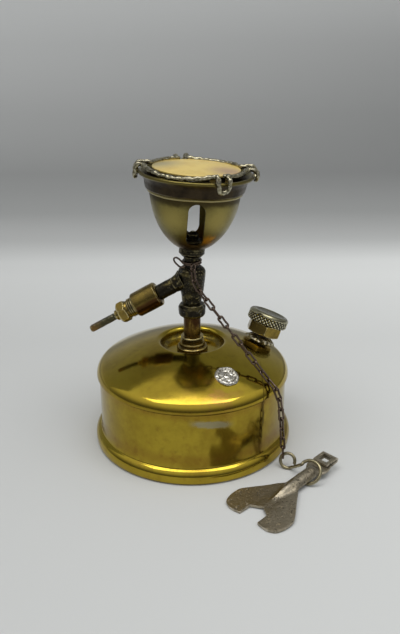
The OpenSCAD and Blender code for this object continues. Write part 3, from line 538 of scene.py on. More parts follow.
def markWear(mesh, spread=1):   # stores how convex each point is, for the finishes
    bm = bmesh.new()
    bm.from_mesh(mesh)
    bm.normal_update()
    values = []
    for v in bm.verts:
        n = len(v.link_edges)
        if not n:
            values.append(0.0)
            continue
        mean = sum((e.other_vert(v).co for e in v.link_edges), Vector()) / n
        length = sum(e.calc_length() for e in v.link_edges) / n
        bend = (v.co - mean).dot(v.normal) / (length * length + 1e-12) * 0.002
        values.append(max(-1.0, min(1.0, bend)))
    for step in range(spread):
        values = [0.5 * values[v.index] + 0.5 * sum(values[e.other_vert(v).index] for e in v.link_edges)
                  / max(1, len(v.link_edges)) for v in bm.verts]
    bm.free()
    layer = mesh.attributes.new("wear", "FLOAT", "POINT")
    layer.data.foreach_set("value", values)


def addPiece(name, node, slot, verts, faces, matrix=None, body="stove", warp=None, sharp=38, bevel=0, thick=0,
             spread=1):
    # the mesh takes the place of the CAD node, where it names one, and rides on a body
    mesh = bpy.data.meshes.new(name)
    points = [(matrix @ Vector(v)) if matrix else Vector(v) for v in verts]
    if warp:
        points = [p + warp(p) for p in points]
    mesh.from_pydata([p / 1000 for p in points], [], faces)
    bm = bmesh.new()
    bm.from_mesh(mesh)
    bmesh.ops.remove_doubles(bm, verts=bm.verts, dist=1e-7)
    bmesh.ops.dissolve_degenerate(bm, edges=bm.edges, dist=1e-8)
    bmesh.ops.recalc_face_normals(bm, faces=bm.faces)
    bm.to_mesh(mesh)
    bm.free()
    obj = addObject(name, mesh)
    if thick:
        solid = obj.modifiers.new("thick", "SOLIDIFY")
        solid.thickness = abs(thick) / 1000
        solid.offset = 0
        solid.use_even_offset = True
    if bevel:
        soft = obj.modifiers.new("soft", "BEVEL")
        soft.width = bevel / 1000
        soft.segments = 3
        soft.limit_method = "ANGLE"
        soft.angle_limit = math.radians(48)
    if thick or bevel:
        graph = bpy.context.evaluated_depsgraph_get()
        mesh = bpy.data.meshes.new_from_object(obj.evaluated_get(graph))
        obj.modifiers.clear()
        obj.data = mesh
    mesh.polygons.foreach_set("use_smooth", [True] * len(mesh.polygons))
    mesh.set_sharp_from_angle(angle=math.radians(sharp))
    markWear(mesh, spread)
    mesh.materials.clear()
    mesh.materials.append(finishes[slot])
    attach(obj, body)
    if node:
        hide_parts(node)
    return obj


def turned(name, node, slot, profile, longest=1.0, segments=96, closed=True, shape=None, **rest):
    # a profile of (radius, height) points turned round the axis; shape may change the radius by angle
    ring = divided(profile, longest, closed)
    verts, rows = [], []
    for p in ring:
        if p.x < 1e-6:
            rows.append([len(verts)] * segments)
            verts.append((0, 0, p.y))
            continue
        rows.append(list(range(len(verts), len(verts) + segments)))
        for k in range(segments):
            t = 2 * math.pi * k / segments
            r = shape(t, p.x, p.y) if shape else p.x
            verts.append((r * math.cos(t), r * math.sin(t), p.y))
    faces = []
    count = len(rows)
    for j in range(count if closed else count - 1):
        a, b = rows[j], rows[(j + 1) % count]
        for k in range(segments):
            m = (k + 1) % segments
            corners = unique(a[k], a[m], b[m], b[k])
            if len(corners) > 2:
                faces.append(corners)
    return addPiece(name, node, slot, verts, faces, **rest)


def smoothPath(points, spacing, closed=False):   # a curve through the points, in even steps
    points = [Vector(p) for p in points]
    n = len(points)
    fine = []
    for i in range(n if closed else n - 1):
        a, b, c, d = (points[(i + k) % n if closed else max(0, min(n - 1, i + k))] for k in (-1, 0, 1, 2))
        steps = max(2, math.ceil((c - b).length / spacing * 2))
        for k in range(steps):
            t = k / steps
            fine.append(0.5 * (2 * b + (c - a) * t + (2 * a - 5 * b + 4 * c - d) * t * t
                               + (3 * b - a - 3 * c + d) * t ** 3))
    if not closed:
        fine.append(points[-1])
    ends = fine + [fine[0]] if closed else fine
    total = sum((q - p).length for p, q in zip(ends, ends[1:]))
    count = max(4, round(total / spacing))
    made, walked, want = [], 0.0, 0.0
    for p, q in zip(ends, ends[1:]):
        run = (q - p).length
        while run > 0 and want <= walked + run + 1e-9 and len(made) <= count:
            made.append(p.lerp(q, (want - walked) / run))
            want += total / count
        walked += run
    return made[:count] if closed else made


def tubeAlong(path, radius, closed, around, lump, lumpSize, seed):   # a lumpy wire with domed ends
    n = len(path)
    ways = []
    for i in range(n):
        a = path[i - 1] if closed or i else path[0]
        b = path[(i + 1) % n] if closed or i < n - 1 else path[-1]
        ways.append((b - a).normalized())
    side = ways[0].orthogonal().normalized()
    frames = [side]
    for i in range(1, n):
        side = ways[i - 1].rotation_difference(ways[i]) @ side
        frames.append(side)
    twist = 0.0
    if closed:
        last = ways[-1].rotation_difference(ways[0]) @ frames[-1]
        twist = math.atan2(frames[0].cross(last).dot(ways[0]), frames[0].dot(last))
    verts, rows = [], []

    def ring(centre, way, side, r, spin):
        other = way.cross(side)
        rows.append(list(range(len(verts), len(verts) + around)))
        for k in range(around):
            t = 2 * math.pi * k / around - spin
            out = side * math.cos(t) + other * math.sin(t)
            p = centre + out * r
            verts.append(p + out * (noise.noise(p / lumpSize + Vector((seed, 0, 0))) * lump))

    if not closed:
        for k in (0, 1, 2):
            t = math.radians(20 + 27 * k)
            ring(path[0] - ways[0] * radius * 0.8 * math.cos(t), ways[0], frames[0], radius * math.sin(t), 0)
    for i in range(n):
        ring(path[i], ways[i], frames[i], radius, twist * i / n)
    if not closed:
        for k in (2, 1, 0):
            t = math.radians(20 + 27 * k)
            ring(path[-1] + ways[-1] * radius * 0.8 * math.cos(t), ways[-1], frames[-1], radius * math.sin(t), 0)
    faces = []
    count = len(rows)
    for j in range(count if closed else count - 1):
        a, b = rows[j], rows[(j + 1) % count]
        faces += [(a[k], a[(k + 1) % around], b[(k + 1) % around], b[k]) for k in range(around)]
    if not closed:
        faces += [tuple(reversed(rows[0])), tuple(rows[-1])]
    return verts, faces


def joined(parts):
    verts, faces = [], []
    for v, f in parts:
        faces += [tuple(i + len(verts) for i in face) for face in f]
        verts += v
    return verts, faces


# where things stand, from the CAD

coneSlope, coneR, coneZ = 22.6, 44.695, 38.431   # the cover's cone, and a point of it


def onCover(reach, turn, lean):
    z = coneZ + (coneR - reach) * math.tan(math.radians(coneSlope))
    return turnZ(turn) @ shift(reach, 0, z) @ turnY(lean)


atFiller = onCover(37.5, 26, 23.5)
atPlug = onCover(32.4, -62.5, coneSlope)
atBurner = shift(0, 0, 91.56) @ turnY(3.4)
atBranch = shift(0, 0, 81.96) @ turnY(-119)
onGround = shift(22.1, -71.5, 0) @ turnZ(43) @ turnY(-3.6)


# the tank

tank = {
    "footR": 48, "bandH": 7.0, "edgeR": 1.5, "topR": 3.9, "turnIn": 2.6, "flareSlope": 22, "flareTop": 11.5,
    "wallR": 45, "topZ": 36.3, "sheet": 1.0,
    "wobble": [(26, 0, 0.10), (9, 3.1, 0.018)],
    # where each dent is, how wide and how deep
    "dents": [((38, -27, 7), 7, 0.45), ((-22, -40, 22), 11, 0.22), ((44, 8, 20), 12, 0.3), ((12, -43, 16), 9, 0.18),
              ((-30, 34, 24), 12, 0.35), ((24, 38, 14), 10, 0.25), ((-9, -31, 43), 8, 0.14), ((-38, -8, 39.5), 8, 0.2)],
}
tankWobble = lumps(*tank["wobble"])


def tankWarp(p):   # uneven and dented, but flat where it stands
    move = tankWobble(p)
    for spot, reach, depth in tank["dents"]:
        d = (p - Vector(spot)).length / reach
        if d < 3:
            move = move - Vector((p.x, p.y, 0)).normalized() * depth * math.exp(-d * d)
    return move * clamp(p.z / 3)


def tankWall():
    s = tank
    foot, top, wall = s["footR"], s["topR"], s["wallR"]
    outline = [(foot - s["turnIn"], 0), *arc(foot - s["edgeR"], s["edgeR"], s["edgeR"], -90, 0, 8),
               *arc(foot - top, s["bandH"] - top, top, 0, 90 - s["flareSlope"], 12)]
    x, z = outline[-1]   # then a hollow curve up into the wall
    bend = z + (x - wall) * math.tan(math.radians(s["flareSlope"]))
    outline += [(bezier(x, wall, wall, i / 12), bezier(z, bend, s["flareTop"], i / 12)) for i in range(1, 13)]
    outline.append((wall, s["topZ"]))
    turned("tankWall", "tank_wall", "tank_brass", sheetOf(outline, s["sheet"]), 1.2, 240, warp=tankWarp, sharp=50,
           spread=2)


cover = {"innerR": 5.55, "floorR": 12, "wellR": 16.6, "wellZ": 44.96, "wellRollZ": 47.8, "rollR": 2.0,
         "coverR": 46.2, "shoulderR": 6.0, "shoulderZ": 34.2, "coverSlope": 21.9, "dome": 8, "sheet": 1.0}


def tankCover():
    s = cover
    well, floor, slope = s["wellZ"], s["floorR"], 90 - s["coverSlope"]
    wide, deep = s["wellR"] - s["rollR"] - floor, s["wellRollZ"] - well
    outline = [(s["innerR"], well), (floor, well)]
    outline += [(floor + wide * math.sin(t), well + deep * (1 - math.cos(t))) for t in sweep(10, 0, 90)[1:]]
    outline += arc(s["wellR"], s["wellRollZ"], s["rollR"], 172, slope + s["dome"], 12)
    outer = arc(s["coverR"] - s["shoulderR"], s["shoulderZ"], s["shoulderR"], slope - s["dome"], 5, 24)
    first, last = Vector(outline[-1]), Vector(outer[0])   # between them the cone is slightly domed
    bulge = (last - first).length * math.radians(s["dome"]) / 4
    out = Vector((first.y - last.y, last.x - first.x)).normalized()
    outline += [first.lerp(last, f) + out * bulge * 4 * f * (1 - f) for f in [i / 14 for i in range(1, 14)]]
    turned("tankCover", "tank_cover", "tank_brass", sheetOf(outline + outer, -s["sheet"]), 1.2, 240, warp=tankWarp,
           sharp=50, spread=2)


plug = {"r": 5.2, "lumps": [(2.4, 5, 0.22), (0.9, 2, 0.12)], "lift": 1.15}


def fusiblePlug():
    r = plug["r"]
    blob = [(0, -0.3), (r + 0.2, -0.5), (r + 0.3, 0.2, 0.3), (r - 0.2, 0.75, 0.3), (r - 0.9, 0.85, 0.3),
            (r - 1.6, 0.42, 0.4), (1.6, 0.45, 0.4), (0.9, 0.85, 0.3), (0, 0.9)]
    turned("fusiblePlug", "fusible_plug", "solder", rounded(blob, False), 0.25, closed=False,
           matrix=atPlug @ shift(0, 0, plug["lift"]), warp=lumps(*plug["lumps"]))


tankWall()
tankCover()
fusiblePlug()
print("tank made")


# the filler and its cap

cap = {"bossR": 4.4, "bossH": 2.7, "solderR": 6.9, "gasketT": 1.2, "hexAf": 15.6, "hexH": 5.6, "headR": 10.2,
       "headH": 5.8, "knurls": 31, "knurlPitch": 1.9, "knurlDepth": 0.58, "screwL": 8, "boreR": 3.1}


def hexLimit(af):   # cuts a round profile to a hexagon that far across its flats
    def limit(t, r, z):
        a = t % (math.pi / 3) - math.pi / 6
        return min(r, af / 2 / math.cos(a)) if r > af * 0.3 else r
    return limit


def zigzag(v):
    return abs((v % 1) * 2 - 1)


def fillerAndCap():
    s = cap
    boss, bore, rise, low = s["bossR"], s["boreR"], s["bossH"], s["bossH"] + s["gasketT"]
    wall = [(bore, -3), (boss, -3)]
    for z in (0.5, 1.25, 2.0):   # the cap draws down over a short thread
        wall += [(boss - 0.22, z), (boss, z + 0.25), (boss, z + 0.4), (boss - 0.22, z + 0.65)]
    wall += [(boss, rise), (bore, rise)]
    turned("fillerBoss", "filler_boss", "fitting_brass", wall, 0.8, matrix=atFiller)
    r = s["solderR"]
    bead = [(4.3, -1.4), (r + 1.6, -2.0), (r + 1.1, 0.3, 0.4), (r + 0.1, 1.4, 0.6), (5.6, 2.3, 0.5), (4.3, 2.6)]
    turned("fillerSolder", "filler_solder", "solder", rounded(bead, True, 5), 0.35, 120, matrix=atFiller,
           warp=lumps((1.7, 7, 0.45), (0.7, 1, 0.25)))
    washer = [(bore + 0.1, rise, 0.15), (boss, rise, 0.2), (boss + 0.15, low, 0.2), (bore + 0.1, low, 0.15)]
    turned("fillerGasket", "filler_gasket", "gasket", rounded(washer), 0.5, matrix=atFiller, body="cap_washer")

    flat, corner = s["hexAf"] / 2, s["hexAf"] / math.sqrt(3) - 0.1
    stem, tip, base = bore - 0.06, low - s["screwL"], low + s["hexH"]
    screw = [(0, tip), (stem - 0.5, tip), (stem, tip + 0.5), (stem, low), (5.6, low, 0.1), (flat - 0.3, low, 0.2),
             (corner, low + 0.85, 0.3), (corner, base - 0.5, 0.3), (flat - 0.2, base, 0.2), (0, base)]
    turned("fillerScrew", "filler_screw", "fitting_brass", rounded(screw, False), 0.6, 180, closed=False,
           shape=hexLimit(s["hexAf"]), matrix=atFiller, body="filler_cap", sharp=24, warp=lumps((4, 2, 0.06)))

    r, top = s["headR"], base + s["headH"]
    head = [(0, base), (r - 1.6, base), (r - 0.5, base + 0.15, 0.3), (r + 0.05, base + 0.8, 0.3),
            *arc(r - 2.05, top - 2.1, 2.1, 0, 90, 12), (r - 2.7, top, 0.2), (r - 3.2, top - 0.35, 0.5),
            (3, top - 0.55), (0, top - 0.6)]

    def diamond(t, z):   # 1 on the knurl's points, 0 in its grooves
        u, v = t * s["knurls"] / (2 * math.pi), z / s["knurlPitch"]
        return min(zigzag(u + v), zigzag(u - v))

    def reach(r, z):   # the knurl fades out towards the rim's top
        return clamp((r - s["headR"] + 0.75) / 0.3) * clamp((top - 1.7 - z) / 0.4)

    def knurled(t, r, z):
        return r - s["knurlDepth"] * reach(r, z) * (1 - diamond(t, z)) ** 1.3

    made = turned("capHead", "cap_head", "cap_metal", rounded(head, False), 0.18, 400, closed=False, shape=knurled,
                  matrix=atFiller, body="filler_cap", sharp=60, spread=0)
    back = atFiller.inverted()
    for v, wear in zip(made.data.vertices, made.data.attributes["wear"].data):
        p = back @ (v.co * 1000)   # the grooves are painted dark, as shade and dirt, and the points painted bright, as highlights and rubbing
        knurlShadeAndShine = 2.2 * diamond(math.atan2(p.y, p.x) % (2 * math.pi), p.z) - 1.1
        wear.value = wear.value * 0.5 + reach(math.hypot(p.x, p.y) + 0.6, p.z) * knurlShadeAndShine


fillerAndCap()
print("filler and cap made")


# the pillar: socket, riser tube, union ring and the valve's body

pillar = {"wellZ": 44.96, "socketR": 5.5, "riserR": 4.0, "riserBore": 3.1, "riserLow": 18.96, "unionZ": 61.96,
          "unionR": 6.4, "stemR": 2.9, "bodyZ": 68.36, "footR": 4.0, "topR": 6.4, "shoulderZ": 83.06,
          "neckZ": 86.36, "neckR": 3.7, "neckTop": 91.56}
fit = 0.05   # what a tube leaves free round it


def threadOn(r, z, height, pitch, depth):
    turns = [z + i * pitch for i in range(int(height / pitch))]
    return [(r - d, b + pitch * f) for b in turns for d, f in ((0, 0.12), (0, 0.38), (depth, 0.62), (depth, 0.88))]


def makePillar():
    s = pillar
    w, r, hole = s["wellZ"], s["socketR"], s["riserR"] + fit
    socket = [(hole, w - 3), (r, w - 3), (r, w), (7.4, w, 0.2), (7.4, w + 1.7, 0.5), (6.9, w + 2.1, 0.2),
              (6.15, w + 2.15, 0.2), (6.15, w + 3.3, 0.4), (5.8, w + 3.85, 0.15), (5.2, w + 3.95),
              *threadOn(r, w + 4.05, 2.2, 0.72, 0.42), (r - 0.05, w + 6.5), (r - 0.3, w + 7, 0.3), (hole, w + 7)]
    turned("riserSocket", "riser_socket", "fitting_brass", rounded(socket), 0.6, 144, warp=lumps((3, 4, 0.07)))
    r, z, top = s["unionR"], s["unionZ"], s["bodyZ"]
    tube = [(s["riserBore"], s["riserLow"]), (s["riserR"], s["riserLow"]), (s["riserR"], z + 3.2),
            (s["riserBore"], z + 3.2)]
    turned("riserTube", "riser_tube", "riser_brass", tube, warp=lumps((7, 2, 0.05)))
    ring = [(hole, z), (r - 1.7, z, 0.5), (r - 0.15, z + 1.1, 1.4), (r, top - 1.6, 1.2), (r - 0.9, top - 0.05, 0.7),
            (r - 2.2, top), (s["stemR"] + fit, top), (s["stemR"] + fit, z + 3.3), (hole, z + 3.2)]
    turned("unionRing", "union_ring", "black_brass", rounded(ring, True, 6), 0.5, 120, warp=lumps((3, 9, 0.14)))

    foot, wide, shoulder = s["footR"] + 0.15, s["topR"], s["shoulderZ"]
    neck, neckZ = s["neckR"], s["neckZ"]
    body = [(0, z + 3.3), (s["stemR"], z + 3.3), (s["stemR"], top)]
    body += [(foot + (wide - foot) * f ** 0.8, top + (shoulder - top) * f) for f in [i / 12 for i in range(13)]]
    body += [(wide, shoulder + 0.9, 0.7), (wide - 0.6, shoulder + 2.3, 0.7), (neck + 0.9, neckZ - 0.1, 0.6),
             (neck, neckZ + 0.6, 0.5), (neck, s["neckTop"]), (0, s["neckTop"] + 0.4)]
    turned("valveBody", "valve_body", "black_brass", rounded(body, False, 5), 0.4, 144, closed=False,
           warp=lumps((3.2, 1, 0.20), (1.1, 6, 0.10)))


makePillar()
print("pillar made")


# the side valve, along its own axis from the middle of the body

valve = {"tubeR": 3.6, "boreR": 2.3, "start": 5, "tubeEnd": 21.5, "sleeveStart": 17.5, "sleeveEnd": 30.5,
         "sleeveR": 5.9, "nutStart": 27, "nutBore": 1.95, "threadR": 4.6, "hexStart": 34.5, "hexH": 4.4,
         "hexAf": 9.2, "lipR": 2.5, "lipH": 1.9, "spindleR": 1.7, "squareStart": 42.2, "end": 54.8, "square": 2.9}


def sideValve():
    s = valve
    tube = [(s["boreR"], s["start"]), (s["tubeR"], s["start"]), (s["tubeR"], s["tubeEnd"]), (s["boreR"], s["tubeEnd"])]
    turned("branchTube", "branch_tube", "black_brass", tube, 0.5, matrix=atBranch,
           warp=lumps((2.6, 3, 0.13), (0.9, 8, 0.06)))
    braze = [(3.3, 4.6), (5.0, 4.8), (4.4, 5.9, 0.8), (3.85, 7.2, 0.9), (3.55, 9.4), (3.3, 9.2)]
    turned("branchBraze", None, "black_brass", rounded(braze, True, 5), 0.4, matrix=atBranch,
           warp=lumps((1.8, 5, 0.30)))
    r, a, b, hole, rim = s["sleeveR"], s["sleeveStart"], s["sleeveEnd"], s["tubeR"] - fit, s["threadR"] + 0.15
    sleeve = [(hole, a), (r - 1.5, a - 0.2, 0.3), (r - 0.45, a + 0.2, 0.3), (r, a + 0.9, 0.5), (r, b - 0.8, 0.5),
              (r - 0.5, b - 0.1, 0.3), (rim, b), (rim, b - 0.9), (hole, b - 1.1)]
    turned("packingSleeve", "packing_housing", "fitting_brass", rounded(sleeve, True, 5), 0.9, 144, matrix=atBranch,
           warp=lumps((6, 2, 0.06)))

    flat, corner, lip, bore = s["hexAf"] / 2, s["hexAf"] / math.sqrt(3) - 0.1, s["lipR"], s["nutBore"]
    z, top = s["hexStart"], s["hexStart"] + s["hexH"]
    end = top + s["lipH"]
    nut = [(bore, s["nutStart"]), (4.3, s["nutStart"]), (4.5, b - 0.3),
           *threadOn(s["threadR"], b + 0.05, 3.7, 0.95, 0.55), (4.2, z - 0.2), (4.25, z + 0.05, 0.1),
           (flat - 0.1, z + 0.05, 0.2), (corner, z + 0.7, 0.3), (corner, top - 1.0, 0.4),
           (flat - 0.25, top - 0.1, 0.4), (3.0, top, 0.3), (lip + 0.05, top + 0.1, 0.3), (lip, end - 0.3, 0.3),
           (2.2, end, 0.15), (bore, end)]
    turned("glandNut", "gland_nut", "fitting_brass", rounded(nut), 0.5, 180, shape=hexLimit(s["hexAf"]),
           matrix=atBranch, sharp=26, warp=lumps((3, 6, 0.05)))

    half, start, r, end = s["square"] / 2, s["squareStart"], s["spindleR"], s["end"]

    def squared(t, r, z):
        a = t % (math.pi / 2) - math.pi / 4
        return r if z < start - 0.5 else min(r, half / math.cos(math.pi / 4 - abs(a)) + 0.02)

    rod = [(0, 4), (0.3, 4.1), (r, 7.4), (r, start - 0.5), (r + 0.12, start + 0.1), (r + 0.12, end - 0.6, 0.3),
           (1.35, end, 0.2), (0, end + 0.05)]
    turned("valveSpindle", "valve_spindle", "spindle_steel", rounded(rod, False), 0.45, closed=False, shape=squared,
           matrix=atBranch, body="spindle", sharp=30, warp=lumps((1.6, 2, 0.09), (0.6, 5, 0.03)))


sideValve()
print("side valve made")


# the burner, upwards from the neck's top

burner = {"collarR": 5.9, "collarH": 4.6, "boreR": 2.95, "flangeR": 5, "jetR": 2.8, "cupZ": 4.6, "floorR": 6.1,
          "cupR": 20.3, "cupH": 26.0, "sheet": 0.9, "slotW": 7.4, "slotLow": 3, "slotHigh": 23.6,
          "slotTurn": -87.5, "holeR": 3.1, "bandZ": 30.6, "bandR": 22.2, "bandH": 2.2, "rimR": 25, "rimH": 3.8,
          "rimZ": 37.5, "plateR": 19.3, "plateZ": 39.2, "legR": 16.6, "clipZ": 40.5,
          "wobble": [(14, 4, 0.16), (5, 2, 0.03)]}


def cupCurve(h):
    s = burner
    f = max(0.0, 1 - h / s["cupH"])
    return s["floorR"] + (s["cupR"] - s["floorR"]) * (1 - f ** 1.92) ** 0.7


def slotHalf(h):   # half the width of an air slot at that height
    r = burner["slotW"] / 2
    low, high = burner["slotLow"] + r, burner["slotHigh"] - r
    d = low - h if h < low else h - high if h > high else 0
    return math.sqrt(max(0.0, r * r - d * d))


def burnerCup():
    s = burner
    r, low, high = s["slotW"] / 2, s["slotLow"], s["slotHigh"]
    heights = [0, 0.25, 0.6, 1.1, 1.7, 2.3, 2.7]
    heights += [low + r * (1 - math.cos(t)) for t in sweep(10, 0, 90)]
    heights += [low + r + (high - low - 2 * r) * i / 16 for i in range(1, 16)]
    heights += [high - r * (1 - math.cos(t)) for t in sweep(10, 90, 0)]
    heights += [high + (s["cupH"] - high) * i / 4 for i in range(1, 5)]
    columns = 36
    verts, faces, index = [], [], {}

    def corner(q, k, j):
        h = heights[j]
        gap = math.degrees(math.asin(min(1, slotHalf(h) / cupCurve(h)))) if slotHalf(h) > 1e-6 else 0
        if gap == 0 and k == columns:
            q, k = (q + 1) % 4, 0
        if (q, k, j) not in index:
            t = math.radians(s["slotTurn"] + 90 * q + gap + (90 - 2 * gap) * k / columns)
            rad = cupCurve(h) - s["sheet"] / 2
            index[(q, k, j)] = len(verts)
            verts.append((rad * math.cos(t), rad * math.sin(t), h))
        return index[(q, k, j)]

    for q in range(4):
        for j in range(len(heights) - 1):
            faces += [unique(corner(q, k, j), corner(q, k + 1, j), corner(q, k + 1, j + 1), corner(q, k, j + 1))
                      for k in range(columns)]
    for q in range(4):   # the floor, down to the hole that the jet holder closes
        for k in range(columns):
            edge = corner(q, k, 0), corner(q, k + 1, 0)
            faces.append((*edge, len(verts) + 1, len(verts)))
            for i in edge:
                a = math.atan2(verts[i][1], verts[i][0])
                verts.append((s["holeR"] * math.cos(a), s["holeR"] * math.sin(a), s["sheet"] / 2))
    addPiece("burnerCup", "burner_cup", "cup_brass", verts, faces, matrix=atBurner @ shift(0, 0, s["cupZ"]),
             warp=lumps(*s["wobble"]), thick=s["sheet"], bevel=0.16, sharp=45)


def makeBurner():
    s = burner
    r, top, bore = s["collarR"], s["collarH"], s["boreR"]
    collar = [(bore, 0), (r - 1.2, 0, 0.3), (r, 1.3, 0.4), (r, 2.9, 0.1), (r - 0.2, 3.1, 0.1), (r, 3.35, 0.1),
              (r, top, 0.15), (bore, top)]
    turned("burnerCollar", "burner_collar", "black_brass", rounded(collar), 0.4, 144, matrix=atBurner,
           warp=lumps((2.6, 4, 0.14), (0.9, 8, 0.05)))
    burnerCup()
    floor, r = s["cupZ"] + s["sheet"], s["flangeR"]
    seat = floor + 2.2
    holder = [(1.5, 2.3), (bore - fit, 2.3), (bore - fit, floor), (r, floor), (r, floor + 1.7, 0.4),
              (r - 0.5, seat, 0.2), (1.7 + fit, seat), (1.7 + fit, 4.6), (1.5, 4.6)]
    turned("jetHolder", "jet_holder", "black_brass", rounded(holder, True, 3), 0.6, matrix=atBurner)
    r = s["jetR"]
    jet = [(0.2, 5.0), (1.7, 5.0), (1.7, seat), (2.4, seat, 0.2), (r, floor + 2.7, 0.2), (r, floor + 4.4, 0.3),
           (2.35, floor + 4.8, 0.2), (2.2, floor + 4.85), (0.8, floor + 6.0, 0.2), (0.2, floor + 6.0)]
    turned("jetNipple", "jet_nipple", "black_brass", rounded(jet, True, 3), 0.5, matrix=atBurner, shape=hexLimit(5),
           sharp=26)

    band, flare = s["bandR"], s["sheet"] + s["bandH"]
    outline = [(15.6, 0), (s["cupR"] + 0.9, 0.0), *arc(band - 0.9, 0.9, 0.9, -70, 0, 6), (band + 0.35, flare - 0.4)]
    outline += [(band + 0.4 + (s["rimR"] - band - 0.4) * f ** 1.5, flare + s["rimH"] * f)
                for f in [i / 10 for i in range(11)]]
    turned("burnerBand", "burner_band", "burnt_brass", sheetOf(outline, s["sheet"]), 0.6, 180,
           matrix=atBurner @ shift(0, 0, s["bandZ"]), warp=lumps(*s["wobble"], (2.2, 3, 0.05)))

    def beadAt(r, z, *rest):
        path = [atBurner @ Vector((r * math.cos(t), r * math.sin(t), z)) for t in sweep(120, 0, 360)[:-1]]
        return tubeAlong(path, *rest)

    rim = beadAt(s["rimR"] - 0.3, s["rimZ"], 0.82, True, 14, 0.14, 3.0, 2)
    ledge = beadAt(s["cupR"] + 0.35, s["bandZ"] - 0.7, 0.62, True, 12, 0.1, 2.4, 6)
    addPiece("burnerBeads", None, "burnt_brass", *joined([rim, ledge]), warp=lumps(*s["wobble"]))

    dish = [(s["plateR"] * i / 24, 1.0 * (1 - (i / 24) ** 2.4)) for i in range(25)]
    turned("flamePlate", "flame_plate", "plate_brass", sheetOf(dish, s["sheet"]), 0.9, 180,
           matrix=atBurner @ shift(0, 0, s["plateZ"]), warp=lumps((16, 6, 0.22)))
    foot, rise = s["bandZ"] + 0.9, s["plateZ"] - s["bandZ"] - 0.7
    legFaces = [(i * 11 + j, i * 11 + 11 + j, i * 11 + 12 + j, i * 11 + 1 + j) for i in range(7) for j in range(10)]
    legs = [([(s["legR"] * math.cos(t), s["legR"] * math.sin(t), foot + rise * j / 10)
              for t in sweep(7, a, a + 14) for j in range(11)], legFaces) for a in range(20, 380, 90)]
    addPiece("plateLegs", None, "plate_brass", *joined(legs), matrix=atBurner, thick=0.9, bevel=0.15)


makeBurner()
print("burner made")

clip = {
    "wire": 1.9, "lumps": 0.34, "far": 26.5,
    # each loop's direction, half its width, how far it hooks down, and the ring's radius after it
    "loops": [(-65, 2.6, 4.8, 21.2), (2, 4.4, 3.4, 19.4), (107, 2.6, 1.8, 19.8), (180, 3.2, 4.6, 22.8)],
    "sink": [0.7, 0.0, 0.0, 1.5],   # how far the ring sags after each loop
}


def retainingWire():
    s = clip
    far, loops = s["far"], s["loops"]
    points = []
    for n, (a, half, drop, r) in enumerate(loops):
        before = loops[n - 1][3]
        nextTurn, nextHalf = loops[(n + 1) % 4][:2]
        nextTurn += 360 if n == 3 else 0

        def side(m, ring):
            return [(ring + 0.5, m * half * 1.05, 0.0), ((ring + far) / 2, m * half, 0.35), (far - 1.3, m * half, 0.1),
                    (far - 0.2, m * half * 0.97, -1.2), (far, m * half * 0.9, -drop * 0.75)]

        tip = [(far - 0.1, -half * 0.45, -drop - 0.9), (far - 0.15, half * 0.45, -drop - 0.8)]
        points += [turnZ(a) @ Vector(p) for p in side(-1, before) + tip + side(1, r)[::-1]]
        start = a + math.degrees(math.asin(half * 1.5 / r))
        span = nextTurn - math.degrees(math.asin(nextHalf * 1.5 / r)) - start
        count = max(2, int(span / 13))
        for i in range(1, count):
            t = math.radians(start + span * i / count)
            sag = s["sink"][n] * math.sin(math.pi * i / count)
            points.append(Vector((r * math.cos(t), r * math.sin(t), 0.22 * math.sin(3 * t + n) - 0.1 - sag)))
    onBurner = atBurner @ shift(0, 0, burner["clipZ"])
    path = [onBurner @ p for p in smoothPath(points, 0.45, True)]
    wire = tubeAlong(path, s["wire"] / 2, True, 16, s["lumps"], 1.5, 4)
    addPiece("retainingWire", "retaining_wire", "burnt_wire", *wire, warp=lumps((2.4, 11, 0.3)), sharp=70)


retainingWire()
print("retaining wire made")


# the neck wire, the chain, its hook and the spanner

tie = {"wire": 0.9, "eyeR": 1.5, "eye": (0.5, -6.9, 88), "loopR": 4.21, "loopZ": 89.1,
       "stem": [(0.2, -4.2, 89.2), (0.35, -5.2, 89.7), (0.5, -6.2, 89.75), (0.5, -6.9, 89.5)],
       "hairpin": [(-3.4, -2.9, 88.3), (-4.6, -2.5, 89.4), (-5.9, -2.1, 90.7), (-7.3, -1.9, 91.2), (-8.1, -2.0, 90.5),
                   (-7.7, -2.4, 89.3), (-6.7, -2.8, 88.2), (-5.5, -3.0, 87.2), (-4.3, -3.2, 86.9), (-3.2, -3.3, 87.3)]}
links = {
    "wire": 0.97, "width": 3.15, "pitch": 4.9, "play": 0.12, "rock": 9, "lean": 45,
    "side": (0.58, 0.81, 0),
    "upper": [(0.5, -6.9, 87.05), (0.8, -9, 82.8), (2.6, -9.8, 79), (5.6, -10.8, 75), (34, -27.2, 41.2)],
    "lower": [(34, -27.2, 41.2), (37, -30.2, 38.4), (38.6, -31.9, 34.2), (39.6, -32.4, 28), (41.3736, -32.696, 4.7694)],
    "twist": -34,
}


def bow(centre, across, up, r, angles):
    return [Vector(centre) + r * (math.cos(t) * Vector(across) + math.sin(t) * Vector(up)) for t in angles]


